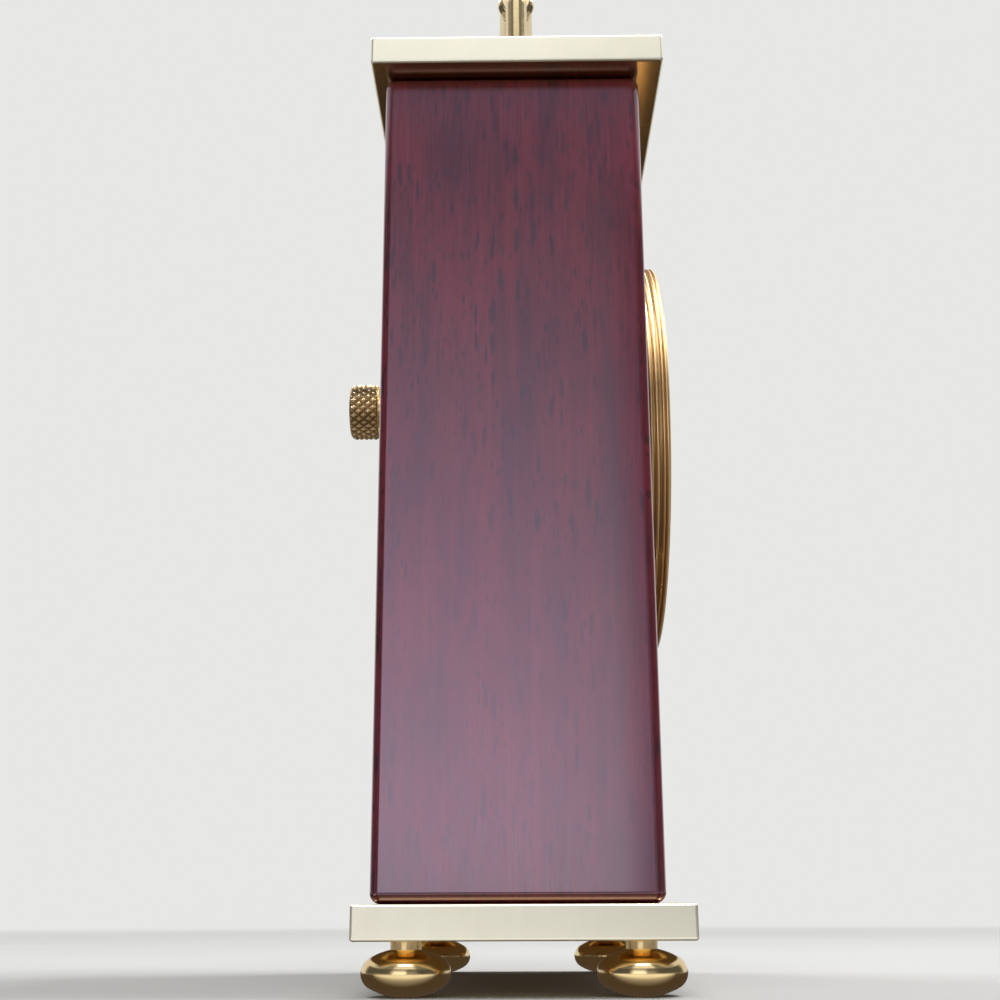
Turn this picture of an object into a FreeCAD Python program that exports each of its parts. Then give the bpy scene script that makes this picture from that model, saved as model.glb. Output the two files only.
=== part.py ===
import FreeCAD, Part
import math
import os

Vector = FreeCAD.Vector

# Desk clock: a lacquered wooden block between two brass plates, on four bun feet,
# with a carrying handle, a dial in front and a knurled setting knob behind.
# Lengths are in millimetres. +Z is up, the dial faces -Y, +X is to the right of someone facing the dial.
# The origin lies on the floor, under the middle of the overall width and depth.

# Shared clearances
overrun = 1.0
seat_clearance = 0.1
running_clearance = 0.05
air_gap = 0.4

# Wooden body
body_width = 111.2
body_depth = 52.6
body_height = 165.8
body_edge_radius = 2.0

# Brass plates under and over the body
plate_thickness = 6.2
plate_side_overhang = 5.2
plate_front_overhang = 4.7
plate_back_overhang = 2.7
plate_edge_radius = 0.6

# Bun feet, screwed into the bottom plate
foot_diameter = 16.0
foot_bun_height = 8.4
foot_side_radius = 2.9
foot_flat_diameter = 5.0
foot_neck_diameter = 5.6
foot_neck_height = 1.2
foot_stud_diameter = 4.0
foot_stud_length = 5.0
foot_edge_gap = 1.2

# Slotted countersunk screws; the slot is given as shares of the head's diameter
slot_width_share = 0.16
slot_depth_share = 0.10
base_screw_diameter = 4.0
base_screw_head_diameter = 8.0
base_screw_length = 26.0
base_screw_inset_x = 22.6
base_screw_inset_y = 14.3

# Handle: two bent arms and a turned grip
handle_inset = 16.3
handle_height = 27.0
handle_rod_diameter = 4.6
handle_bend_radius = 9.0
handle_stud_diameter = 4.0
handle_stud_length = 18.0
handle_tenon_length = 6.0
handle_collar_diameter = 9.0
handle_collar_height = 3.4
handle_collar_base_share = 0.35
handle_insert_diameter = 7.0
handle_insert_length = 15.0
grip_diameter = 8.3
grip_waist_diameter = 7.3
grip_neck_diameter = 6.2
grip_bead_length = 3.0
grip_ring_length = 1.2
grip_groove_length = 0.5

# Dial opening, at a share of the body's height, and the sleeve that lines it
dial_height_share = 0.5953
sleeve_wall = 0.8
sleeve_flange_width = 2.2
sleeve_flange_thickness = 0.8
sleeve_shoulder_width = 3.4
sleeve_length = 32.0
sleeve_screw_count = 3
sleeve_screw_step_share = 0.25
sleeve_screw_diameter = 1.2
sleeve_screw_head_diameter = 1.8
sleeve_screw_length = 7.0

# Reeded bezel; each reed starts and ends at shares of its reach, counted from the wood
bezel_overlap = 4.45
bezel_reach = 5.2
bezel_reed_depth = 0.5
bezel_reed_shares = ((0.20, 0.335), (0.395, 0.585), (0.68, 0.805), (0.825, 0.97))
bezel_lip_width = 3.1
bezel_lip_thickness = 0.7

# Domed glass, gasket, dial ring and dial
crystal_ledge = 1.3
crystal_thickness = 1.6
crystal_rise = 1.9
gasket_thickness = 0.4
gasket_width = 1.5
dial_ring_slope = 1.2
dial_depth = 6.0
dial_thickness = 0.8

# Hands, shown at this time; spade shares are places along a hand's length
shown_hour_count = 10
shown_minute_count = 10
shown_second_count = 36
hand_thickness = 0.45
hand_gap = 0.8
hand_stem_width = 1.1
hand_hub_wall = 1.5
pipe_stand = 0.2
hour_hand_length = 21.0
hour_hand_half_width = 2.6
minute_hand_length = 31.0
minute_hand_half_width = 1.9
second_hand_length = 31.5
second_hand_tail = 10.0
second_hand_width = 0.8
second_hand_weight_diameter = 3.4
spade_shares = (0.56, 0.69, 0.84)

# Setting knob behind the back of the body, on a stem above the dial's axis
set_offset = 13.0
knob_reach = 11.9
knob_length = 6.6
knob_diameter = 12.9
knob_chamfer = 0.7
knob_end_wall = 1.6
knob_collar_diameter = 7.2
knurl_around_count = 21
knurl_along_count = 3
knurl_depth = 0.5
stem_diameter = 3.0
stem_seat_diameter = 2.0

# Rear cover, let into the back of the body, and the bush that carries the stem
rear_cover_overlap = 6.0
rear_cover_thickness = 1.6
rear_screw_count = 4
rear_screw_step_share = 0.5
rear_screw_diameter = 1.8
rear_screw_head_diameter = 3.6
rear_screw_length = 9.0
stem_bush_diameter = 6.0
stem_bush_length = 6.0
stem_bush_flange_diameter = 10.0
stem_bush_flange_thickness = 1.0

# Quartz movement housing and its fastening to the dial
housing_wall = 1.2
housing_corner_radius = 2.0
housing_pillar_diameter = 4.0
housing_boss_diameter = 3.0
housing_clearance = 1.0
bush_diameter = 8.0
bush_end_stand = 0.6
washer_diameter = 18.0
washer_thickness = 1.0
nut_width = 12.0
nut_thickness = 2.0

# Wheels and arbors; the modules follow from the distances between the arbors
wheel_thickness = 1.2
bridge_thickness = 1.2
pivot_diameter = 0.9
second_arbor_diameter = 1.2
cannon_diameter = 3.2
hour_pipe_diameter = 5.0
cannon_leaves = 10
minute_wheel_teeth = 30
minute_pinion_leaves = 8
hour_wheel_teeth = 32
third_distance = 11.22
third_pinion_leaves = 6
third_wheel_teeth = 45
centre_wheel_teeth = 48
seconds_pinion_leaves = 6
seconds_wheel_teeth = 30
intermediate_distance = 11.6
intermediate_pinion_leaves = 6
intermediate_wheel_teeth = 36
rotor_distance = 8.4
rotor_bearing = 60
rotor_pinion_leaves = 6
# Tooth forms: height above the pitch circle and half thickness there, as shares of the module
wheel_tooth_shares = ((-1.5, 0.70), (0.0, 0.70), (0.62, 0.46), (1.1, 0.14))
pinion_leaf_shares = ((-1.3, 0.48), (0.0, 0.48), (0.42, 0.34), (0.6, 0.12))

# Motor, electrics and battery cell
rotor_diameter = 5.2
stator_margin = 1.0
stator_thickness = 1.2
stator_arm_width = 3.0
coil_diameter = 5.0
coil_length = 13.2
coil_core_width = 2.0
coil_core_thickness = 1.2
coil_gap = 0.5
board_width = 12.0
board_height = 12.0
board_thickness = 1.0
board_inset = 1.0
board_boss_length = 2.4
quartz_can_diameter = 2.0
quartz_can_length = 6.0
cell_diameter = 14.5
cell_body_length = 49.5
cell_nub_diameter = 5.5
cell_nub_length = 1.0
cell_clearance = 0.3
cell_slot_share = 0.8
contact_thickness = 0.4
contact_width = 9.0
contact_crown_diameter = 4.0
contact_spring_room = 0.5

# Levels of the case
plate_width = body_width + 2 * plate_side_overhang
front_reach = max(bezel_reach, plate_front_overhang)
back_reach = max(knob_reach, plate_back_overhang)
body_front = (front_reach - body_depth - back_reach) / 2
body_back = body_front + body_depth
body_middle = (body_front + body_back) / 2
plate_front = body_front - plate_front_overhang
plate_back = body_back + plate_back_overhang
plate_middle = (plate_front + plate_back) / 2
foot_radius = foot_diameter / 2
foot_half_height = foot_bun_height / 2
foot_side_centre = foot_radius - foot_side_radius
foot_crown_radius = (foot_side_centre**2 + foot_half_height**2 - foot_side_radius**2) / (
    2 * (foot_half_height - foot_side_radius)
)
foot_crown_drop = foot_crown_radius - foot_half_height
foot_middle = math.sqrt(foot_crown_radius**2 - (foot_flat_diameter / 2) ** 2) - foot_crown_drop
foot_height = foot_middle + foot_half_height + foot_neck_height
body_bottom = foot_height + plate_thickness
body_top = body_bottom + body_height
plate_top = body_top + plate_thickness
grip_axis = plate_top + handle_height
arm_reach = plate_width / 2 - handle_inset
grip_half = arm_reach - handle_bend_radius
dial_z = body_bottom + dial_height_share * body_height

# Levels of the dial, from the front backwards
flange_front = body_front - sleeve_flange_thickness
crystal_back = flange_front - gasket_thickness
crystal_front = crystal_back - crystal_thickness
dial_front = body_front + dial_depth
dial_back = dial_front + dial_thickness
nut_front = dial_front - nut_thickness
bush_front = nut_front - bush_end_stand
hour_hand_back = bush_front - air_gap
minute_hand_back = hour_hand_back - hand_thickness - hand_gap
second_hand_back = minute_hand_back - hand_thickness - hand_gap

# Arbors of the movement, as spots on the dial plane
rotor_angle = math.radians(rotor_bearing)
centre_spot = (0, dial_z)
set_spot = (0, dial_z + set_offset)
third_spot = (-third_distance, dial_z)
intermediate_spot = (intermediate_distance, dial_z)
rotor_x = intermediate_distance + rotor_distance * math.cos(rotor_angle)
rotor_z = dial_z + rotor_distance * math.sin(rotor_angle)
rotor_spot = (rotor_x, rotor_z)

# Modules of the six pairs of wheels
cannon_module = 2 * set_offset / (cannon_leaves + minute_wheel_teeth)
hour_module = 2 * set_offset / (minute_pinion_leaves + hour_wheel_teeth)
centre_module = 2 * third_distance / (third_pinion_leaves + centre_wheel_teeth)
third_module = 2 * third_distance / (seconds_pinion_leaves + third_wheel_teeth)
seconds_module = 2 * intermediate_distance / (intermediate_pinion_leaves + seconds_wheel_teeth)
rotor_module = 2 * rotor_distance / (rotor_pinion_leaves + intermediate_wheel_teeth)
tip_share = wheel_tooth_shares[-1][0]
root_share = pinion_leaf_shares[0][0]
hour_wheel_radius = hour_module * (hour_wheel_teeth / 2 + tip_share)
intermediate_wheel_radius = rotor_module * (intermediate_wheel_teeth / 2 + tip_share)

# The housing holds the cell below the hour wheel
cell_length = cell_body_length + cell_nub_length
cell_radius = cell_diameter / 2
cell_room = cell_length / 2 + contact_thickness + contact_spring_room
housing_inner = max(cell_room, hour_wheel_radius + air_gap + cell_diameter + cell_clearance)
housing_outer = housing_inner + housing_wall
housing_corner_reach = housing_outer * math.sqrt(2) - housing_corner_radius * (math.sqrt(2) - 1)
cell_z = dial_z - housing_inner + cell_clearance + cell_radius
cell_top = cell_z + cell_radius + cell_clearance

# Radii of the dial opening, which lets the housing through, and of what closes it
sleeve_bore = housing_corner_reach + housing_clearance
sleeve_radius = sleeve_bore + sleeve_wall
bore_radius = sleeve_radius + seat_clearance
flange_radius = bore_radius + sleeve_flange_width
bezel_radius = bore_radius + bezel_overlap
crystal_radius = sleeve_bore - seat_clearance
aperture_radius = crystal_radius - crystal_ledge
rear_cover_radius = bore_radius + rear_cover_overlap

# Levels of the movement, from the dial backwards
housing_front = dial_back + washer_thickness
inside_front = housing_front + housing_wall
hour_level = inside_front + air_gap
cannon_level = hour_level + wheel_thickness + air_gap
bridge_front = cannon_level + wheel_thickness + air_gap
bridge_back = bridge_front + bridge_thickness
centre_level = bridge_back + air_gap
third_level = centre_level + wheel_thickness + air_gap
seconds_level = third_level + wheel_thickness + air_gap
intermediate_level = seconds_level + wheel_thickness + air_gap
stator_level = intermediate_level + wheel_thickness + air_gap
stator_back = stator_level + stator_thickness
inside_depth = max(cell_diameter + 2 * cell_clearance, stator_back + air_gap - inside_front)
inside_back = inside_front + inside_depth
housing_back = inside_back + housing_wall
cell_y = (inside_front + inside_back) / 2

# Levels at the back of the body
rear_cover_front = body_back - rear_cover_thickness
bush_flange_back = body_back + stem_bush_flange_thickness
knob_back = body_back + knob_reach
knob_face = knob_back - knob_length
stem_back = knob_back - knob_end_wall


def outline(start, *steps):
    """Edges in the XZ plane. A step is the end point of a line, or the middle and end points of an arc."""
    edges = []
    here = Vector(start[0], 0, start[1])
    for step in steps:
        if isinstance(step[0], tuple):
            middle, end = step
            there = Vector(end[0], 0, end[1])
            edges.append(Part.Arc(here, Vector(middle[0], 0, middle[1]), there).toShape())
        else:
            there = Vector(step[0], 0, step[1])
            edges.append(Part.makeLine(here, there))
        here = there
    return edges


def filled(edges):
    return Part.Face(Part.Wire(edges))


def lathe(edges):
    """Solid turned about Z from a closed outline of radius and height."""
    return filled(edges).revolve(Vector(), Vector(0, 0, 1), 360)


def lay_back(shape, spot, y, way=1):
    """Lays a shape that was made about Z along Y, towards the back or, with way -1, the front."""
    shape.rotate(Vector(), Vector(1, 0, 0), -90 * way)
    shape.translate(Vector(spot[0], y, spot[1]))
    return shape


def rod(radius, y_from, y_to, spot):
    """Round bar along Y."""
    return Part.makeCylinder(radius, y_to - y_from, Vector(spot[0], y_from, spot[1]), Vector(0, 1, 0))


def tube(outer, inner, y_from, y_to, spot):
    return rod(outer, y_from, y_to, spot).cut(rod(inner, y_from - overrun, y_to + overrun, spot))


def upright(radius, z_from, z_to, x, y):
    """Round bar along Z."""
    return Part.makeCylinder(radius, z_to - z_from, Vector(x, y, z_from))


def box(x_from, x_to, y_from, y_to, z_from, z_to):
    return Part.makeBox(x_to - x_from, y_to - y_from, z_to - z_from, Vector(x_from, y_from, z_from))


def slab(half, corner, y_from, y_to):
    """Square block about the dial's axis with rounded corners, between two depths."""
    block = box(-half, half, y_from, y_to, dial_z - half, dial_z + half)
    depth = y_to - y_from
    along = [edge for edge in block.Edges if abs(edge.Vertexes[0].Y - edge.Vertexes[1].Y) > depth / 2]
    return block.makeFillet(corner, along)


def around(count, radius, first_share):
    """Spots on a circle about the dial's axis; the first lies a share of one step past +X."""
    spots = []
    for index in range(count):
        angle = 2 * math.pi * (index + first_share) / count
        spots.append((radius * math.cos(angle), dial_z + radius * math.sin(angle)))
    return spots


def cut_all(shape, tools):
    for tool in tools:
        shape = shape.cut(tool)
    return shape


def fuse_all(shapes):
    whole = shapes[0]
    for shape in shapes[1:]:
        whole = whole.fuse(shape)
    return whole.removeSplitter()


def screw(diameter, head_diameter, length, margin):
    """Countersunk screw about Z, head at height zero, point upwards, grown all round by a margin."""
    shank = diameter / 2
    head = head_diameter / 2
    return lathe(outline(
        (0, 0),
        (head + margin, 0),
        (shank + margin, head - shank),
        (shank + margin, length - shank),
        (0, length + margin),
        (0, 0),
    ))


def slotted_screw(diameter, head_diameter, length):
    half_width = head_diameter * slot_width_share / 2
    depth = head_diameter * slot_depth_share
    slot = box(-head_diameter, head_diameter, -half_width, half_width, -overrun, depth)
    return screw(diameter, head_diameter, length, 0).cut(slot)


def gear(teeth, module, form_shares, level, spot, aim):
    """Toothed disc with one tooth centred on the angle aim, in degrees from +X towards +Z."""
    pitch_radius = teeth * module / 2
    points = []
    for tooth in range(teeth):
        middle = math.radians(aim + tooth * 360 / teeth)
        sides = [(height, -half) for height, half in form_shares]
        sides += [(height, half) for height, half in reversed(form_shares)]
        for height, half in sides:
            radius = pitch_radius + height * module
            angle = middle + half * module / max(radius, pitch_radius)
            x = spot[0] + radius * math.cos(angle)
            z = spot[1] + radius * math.sin(angle)
            points.append(Vector(x, level, z))
    points.append(points[0])
    return Part.Face(Part.makePolygon(points)).extrude(Vector(0, wheel_thickness, 0))


def wheel(teeth, module, level, spot, aim):
    return gear(teeth, module, wheel_tooth_shares, level, spot, aim)


def pinion(leaves, module, level, spot, aim):
    return gear(leaves, module, pinion_leaf_shares, level, spot, aim)


def gap_aim(direction, teeth):
    """Aim that turns a gap towards a mate whose tooth points along direction."""
    return direction + 180 + 180 / teeth


parts = {}

# Wooden body, bored through for the movement and let in behind for the rear cover
body = box(-body_width / 2, body_width / 2, body_front, body_back, body_bottom, body_top)
body = body.makeFillet(body_edge_radius, body.Edges)
body = body.cut(rod(bore_radius, body_front - overrun, body_back + overrun, centre_spot))
rebate_radius = rear_cover_radius + seat_clearance
body = body.cut(rod(rebate_radius, rear_cover_front, body_back + overrun, centre_spot))

# Bottom plate and the screws that hold it
bottom_plate = box(-plate_width / 2, plate_width / 2, plate_front, plate_back, foot_height, body_bottom)
bottom_plate = bottom_plate.makeFillet(plate_edge_radius, bottom_plate.Edges)
base_screws = []
for side_x in (-1, 1):
    for side_y in (-1, 1):
        screw_x = side_x * (body_width / 2 - base_screw_inset_x)
        screw_y = body_middle + side_y * (body_depth / 2 - base_screw_inset_y)
        place = Vector(screw_x, screw_y, foot_height)
        socket = screw(base_screw_diameter, base_screw_head_diameter, base_screw_length, seat_clearance)
        socket.translate(place)
        bottom_plate = bottom_plate.cut(socket)
        body = body.cut(socket)
        base_screw = slotted_screw(base_screw_diameter, base_screw_head_diameter, base_screw_length)
        base_screw.translate(place)
        base_screws.append(base_screw)
parts["base_screws"] = Part.makeCompound(base_screws)

# Bun feet: an oval bun with a small flat under it, a neck, and a stud in the plate
foot_inset = foot_radius + foot_edge_gap
foot_x = plate_width / 2 - foot_inset
foot_stud_radius = foot_stud_diameter / 2
foot_neck_radius = foot_neck_diameter / 2
foot_stud_top = foot_height + foot_stud_length
tangent_slope = math.atan2(foot_crown_drop, foot_side_centre)
tangent_x = foot_side_centre + foot_side_radius * math.cos(tangent_slope)
tangent_rise = foot_side_radius * math.sin(tangent_slope)


def crown_rise(radius):
    """Height of the bun's crown above its widest place, at a distance from the axis."""
    return math.sqrt(foot_crown_radius**2 - radius**2) - foot_crown_drop


flat_radius = foot_flat_diameter / 2
under_x = (flat_radius + tangent_x) / 2
over_x = (foot_neck_radius + tangent_x) / 2
neck_foot = (foot_neck_radius, foot_middle + crown_rise(foot_neck_radius))
foot_edges = outline(
    (0, 0),
    (flat_radius, 0),
    ((under_x, foot_middle - crown_rise(under_x)), (tangent_x, foot_middle - tangent_rise)),
    ((foot_radius, foot_middle), (tangent_x, foot_middle + tangent_rise)),
    ((over_x, foot_middle + crown_rise(over_x)), neck_foot),
    (foot_neck_radius, foot_height),
    (foot_stud_radius, foot_height),
    (foot_stud_radius, foot_stud_top),
    (0, foot_stud_top),
    (0, 0),
)
foot_places = {
    "foot_front_left": (-foot_x, plate_front + foot_inset),
    "foot_front_right": (foot_x, plate_front + foot_inset),
    "foot_back_left": (-foot_x, plate_back - foot_inset),
    "foot_back_right": (foot_x, plate_back - foot_inset),
}
for name, (x, y) in foot_places.items():
    foot = lathe(foot_edges)
    foot.translate(Vector(x, y, 0))
    parts[name] = foot
    stud_hole_radius = foot_stud_radius + seat_clearance
    bottom_plate = bottom_plate.cut(
        upright(stud_hole_radius, foot_height - overrun, foot_stud_top + seat_clearance, x, y)
    )
parts["bottom_plate"] = bottom_plate

# Handle arms: a rod with a stud in the body, a bend, and a tenon in the grip
top_plate = box(-plate_width / 2, plate_width / 2, plate_front, plate_back, body_top, plate_top)
top_plate = top_plate.makeFillet(plate_edge_radius, top_plate.Edges)
rod_radius = handle_rod_diameter / 2
handle_stud_radius = handle_stud_diameter / 2
handle_hole_radius = handle_stud_radius + seat_clearance
stud_end = plate_top - handle_stud_length
insert_bottom = body_top - handle_insert_length
insert_radius = handle_insert_diameter / 2
insert_hole_radius = insert_radius + seat_clearance
bend_inset = handle_bend_radius * (1 - math.sin(math.pi / 4))
collar_radius = handle_collar_diameter / 2
collar_bore = rod_radius + seat_clearance
inserts = []
for name, side in (("left", -1), ("right", 1)):
    arm_x = side * arm_reach
    arm_foot = Vector(arm_x, plate_middle, plate_top)
    bend_from = Vector(arm_x, plate_middle, grip_axis - handle_bend_radius)
    bend_middle = Vector(arm_x - side * bend_inset, plate_middle, grip_axis - bend_inset)
    bend_to = Vector(side * grip_half, plate_middle, grip_axis)
    bend = Part.Arc(bend_from, bend_middle, bend_to).toShape()
    path = Part.Wire([Part.makeLine(arm_foot, bend_from), bend])
    section = Part.Wire(Part.makeCircle(rod_radius, arm_foot))
    bent_rod = path.makePipeShell([section], True, False)
    stud = upright(handle_stud_radius, stud_end, plate_top, arm_x, plate_middle)
    tenon = Part.makeCylinder(handle_stud_radius, handle_tenon_length, bend_to, Vector(-side, 0, 0))
    parts["handle_arm_" + name] = fuse_all([bent_rod, stud, tenon])

    collar = lathe(outline(
        (collar_bore, 0),
        (collar_radius, 0),
        (collar_radius, handle_collar_base_share * handle_collar_height),
        (((collar_radius + collar_bore) / 2, handle_collar_height / 2), (collar_bore, handle_collar_height)),
        (collar_bore, 0),
    ))
    collar.translate(arm_foot)
    parts["handle_collar_" + name] = collar

    stud_bottom = stud_end - seat_clearance
    stud_hole = upright(handle_hole_radius, stud_bottom, plate_top + overrun, arm_x, plate_middle)
    insert = upright(insert_radius, insert_bottom, body_top, arm_x, plate_middle)
    insert_socket = upright(insert_hole_radius, insert_bottom, body_top + overrun, arm_x, plate_middle)
    inserts.append(insert.cut(stud_hole))
    body = body.cut(insert_socket)
    top_plate = top_plate.cut(stud_hole)
parts["handle_inserts"] = Part.makeCompound(inserts)
parts["top_plate"] = top_plate

# Turned grip: a ring and a bead at each end, and a swelling barrel between them
grip_radius = grip_diameter / 2
grip_neck = grip_neck_diameter / 2
grip_waist = grip_waist_diameter / 2
grip_groove = rod_radius + grip_groove_length
ring_end = grip_half - grip_ring_length
bead_start = ring_end - grip_groove_length
bead_end = bead_start - grip_bead_length
bead_middle = (bead_start + bead_end) / 2
barrel_half = bead_end - grip_groove_length
grip = lathe(outline(
    (0, -grip_half),
    (grip_neck, -grip_half),
    (grip_neck, -ring_end),
    (grip_groove, -ring_end),
    (grip_groove, -bead_start),
    ((grip_radius, -bead_middle), (grip_groove, -bead_end)),
    (grip_groove, -barrel_half),
    (grip_waist, -barrel_half),
    ((grip_radius, 0), (grip_waist, barrel_half)),
    (grip_groove, barrel_half),
    (grip_groove, bead_end),
    ((grip_radius, bead_middle), (grip_groove, bead_start)),
    (grip_groove, ring_end),
    (grip_neck, ring_end),
    (grip_neck, grip_half),
    (0, grip_half),
    (0, -grip_half),
))
tenon_room = handle_tenon_length + seat_clearance
for side in (-1, 1):
    tenon_mouth = Vector(0, 0, side * (grip_half + overrun))
    tenon_hole = Part.makeCylinder(handle_hole_radius, tenon_room + overrun, tenon_mouth, Vector(0, 0, -side))
    grip = grip.cut(tenon_hole)
grip.rotate(Vector(), Vector(0, 1, 0), 90)
grip.translate(Vector(0, plate_middle, grip_axis))
parts["handle_grip"] = grip

# Sleeve: a tube in the bore with a flange before the wood and a shoulder behind the dial
shoulder_radius = sleeve_bore - sleeve_shoulder_width
sleeve_back = flange_front + sleeve_length
sleeve = lay_back(lathe(outline(
    (sleeve_bore, flange_front),
    (flange_radius, flange_front),
    (flange_radius, body_front),
    (sleeve_radius, body_front),
    (sleeve_radius, sleeve_back),
    (sleeve_bore, sleeve_back),
    (sleeve_bore, dial_back + sleeve_wall),
    (shoulder_radius, dial_back + sleeve_wall),
    (shoulder_radius, dial_back),
    (sleeve_bore, dial_back),
    (sleeve_bore, flange_front),
)), centre_spot, 0)
sleeve_screws = []
for spot in around(sleeve_screw_count, (bore_radius + flange_radius) / 2, sleeve_screw_step_share):
    size = (sleeve_screw_diameter, sleeve_screw_head_diameter, sleeve_screw_length)
    socket = lay_back(screw(*size, seat_clearance), spot, flange_front)
    sleeve = sleeve.cut(socket)
    body = body.cut(socket)
    sleeve_screws.append(lay_back(slotted_screw(*size), spot, flange_front))
parts["dial_sleeve"] = sleeve
parts["sleeve_screws"] = Part.makeCompound(sleeve_screws)

# Reeded bezel, with a rebate for the flange and a seat for the glass
reed_root = bezel_radius - bezel_reed_depth
crystal_seat = crystal_radius + seat_clearance
flange_room = flange_radius + seat_clearance
bezel_front = body_front - bezel_reach
bezel_steps = []
for start_share, end_share in bezel_reed_shares:
    reed_start = body_front - start_share * bezel_reach
    reed_end = body_front - end_share * bezel_reach
    bezel_steps.append((reed_root, reed_start))
    bezel_steps.append(((bezel_radius, (reed_start + reed_end) / 2), (reed_root, reed_end)))
bezel_steps += [
    (reed_root, bezel_front),
    (aperture_radius + bezel_lip_width, bezel_front),
    (aperture_radius, crystal_front - bezel_lip_thickness),
    (aperture_radius, crystal_front),
    (crystal_seat, crystal_front),
    (crystal_seat, flange_front),
    (flange_room, flange_front),
    (flange_room, body_front),
]
bezel_edges = outline((flange_room, body_front), (reed_root, body_front), *bezel_steps)
parts["bezel"] = lay_back(lathe(bezel_edges), centre_spot, 0)

# Domed glass of even thickness with a flat rim
dome_radius = aperture_radius - seat_clearance
dome_curve = (dome_radius**2 + crystal_rise**2) / (2 * crystal_rise)
half_way = dome_radius / 2
half_way_rise = math.sqrt(dome_curve**2 - half_way**2) - dome_curve + crystal_rise
parts["crystal"] = lay_back(lathe(outline(
    (0, crystal_front - crystal_rise),
    ((half_way, crystal_front - half_way_rise), (dome_radius, crystal_front)),
    (crystal_radius, crystal_front),
    (crystal_radius, crystal_back),
    (dome_radius, crystal_back),
    ((half_way, crystal_back - half_way_rise), (0, crystal_back - crystal_rise)),
    (0, crystal_front - crystal_rise),
)), centre_spot, 0)
gasket_bore = crystal_radius - gasket_width
parts["crystal_gasket"] = tube(crystal_radius, gasket_bore, crystal_back, flange_front, centre_spot)

# Sloping ring between glass and dial, and the dial on its shoulder
dial_radius = sleeve_bore - seat_clearance
parts["dial_ring"] = lay_back(lathe(outline(
    (aperture_radius, flange_front),
    (dial_radius, flange_front),
    (dial_radius, dial_front),
    (aperture_radius - dial_ring_slope, dial_front),
    (aperture_radius, flange_front),
)), centre_spot, 0)
bush_radius = bush_diameter / 2
parts["dial"] = tube(dial_radius, bush_radius + seat_clearance, dial_front, dial_back, centre_spot)


# Hands, made pointing up and then turned to the time shown
def hand(plate, hub_radius, bore_radius, back, degrees):
    """Gives a flat hand its thickness, a round hub and a bore, and turns it clockwise."""
    blade = plate.extrude(Vector(0, hand_thickness, 0))
    whole = fuse_all([blade, rod(hub_radius, 0, hand_thickness, (0, 0))])
    whole = whole.cut(rod(bore_radius, -overrun, hand_thickness + overrun, (0, 0)))
    whole.rotate(Vector(), Vector(0, 1, 0), degrees)
    whole.translate(Vector(0, back - hand_thickness, dial_z))
    return whole


def spade(length, half_width):
    """Slim stem that opens into a pointed leaf."""
    stem = hand_stem_width / 2
    neck, belly, shoulder = [share * length for share in spade_shares]
    return filled(outline(
        (stem, 0),
        (stem, neck),
        ((half_width, belly), (stem, shoulder)),
        (0, length),
        (-stem, shoulder),
        ((-half_width, belly), (-stem, neck)),
        (-stem, 0),
        (stem, 0),
    ))


second_turn = 360 * shown_second_count / 60
minute_turn = (360 * shown_minute_count + second_turn) / 60
hour_turn = (360 * shown_hour_count + minute_turn) / 12
hour_pipe_radius = hour_pipe_diameter / 2
cannon_radius = cannon_diameter / 2
second_radius = second_arbor_diameter / 2
pivot_radius = pivot_diameter / 2
hour_blade = spade(hour_hand_length, hour_hand_half_width)
minute_blade = spade(minute_hand_length, minute_hand_half_width)
second_half = second_hand_width / 2
second_blade = filled(outline(
    (second_half, -second_hand_tail),
    (second_half / 2, second_hand_length),
    (-second_half / 2, second_hand_length),
    (-second_half, -second_hand_tail),
    (second_half, -second_hand_tail),
))
hands = {
    "hour_hand": (hour_blade, hour_pipe_radius, hour_hand_back, hour_turn),
    "minute_hand": (minute_blade, cannon_radius, minute_hand_back, minute_turn),
    "second_hand": (second_blade, second_radius, second_hand_back, second_turn),
}
for name, (blade, arbor_radius, back, degrees) in hands.items():
    bore = arbor_radius + running_clearance
    parts[name] = hand(blade, bore + hand_hub_wall, bore, back, degrees)
weight_angle = math.radians(second_turn)
weight_x = -second_hand_tail * math.sin(weight_angle)
weight_z = dial_z - second_hand_tail * math.cos(weight_angle)
weight_spot = (weight_x, weight_z)
weight_front = second_hand_back - hand_thickness
weight = rod(second_hand_weight_diameter / 2, weight_front, second_hand_back, weight_spot)
parts["second_hand"] = fuse_all([parts["second_hand"], weight])

# Movement housing: a front half with pillars for the bridge, and a rear half open at the cell
split = bridge_back
inner_corner = housing_corner_radius - housing_wall
pillar_reach = housing_inner - housing_pillar_diameter
pillar_radius = housing_pillar_diameter / 2
pillars = []
for side in (-1, 1):
    for pillar_z in (cell_top + pillar_radius, dial_z + pillar_reach):
        pillars.append(rod(pillar_radius, housing_front, bridge_front, (side * pillar_reach, pillar_z)))
stem_radius = stem_diameter / 2
stem_hole = rod(stem_radius + running_clearance, inside_front, housing_back + overrun, set_spot)
pivot_hole_radius = pivot_radius + running_clearance
front_half = slab(housing_outer, housing_corner_radius, housing_front, split)
front_half = front_half.cut(slab(housing_inner, inner_corner, inside_front, split + overrun))
front_half = fuse_all([front_half] + pillars)
parts["movement_base"] = cut_all(front_half, [
    rod(bush_radius + seat_clearance, housing_front - overrun, inside_front + overrun, centre_spot),
    rod(pivot_hole_radius, housing_front - overrun, inside_front + overrun, set_spot),
])

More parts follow.
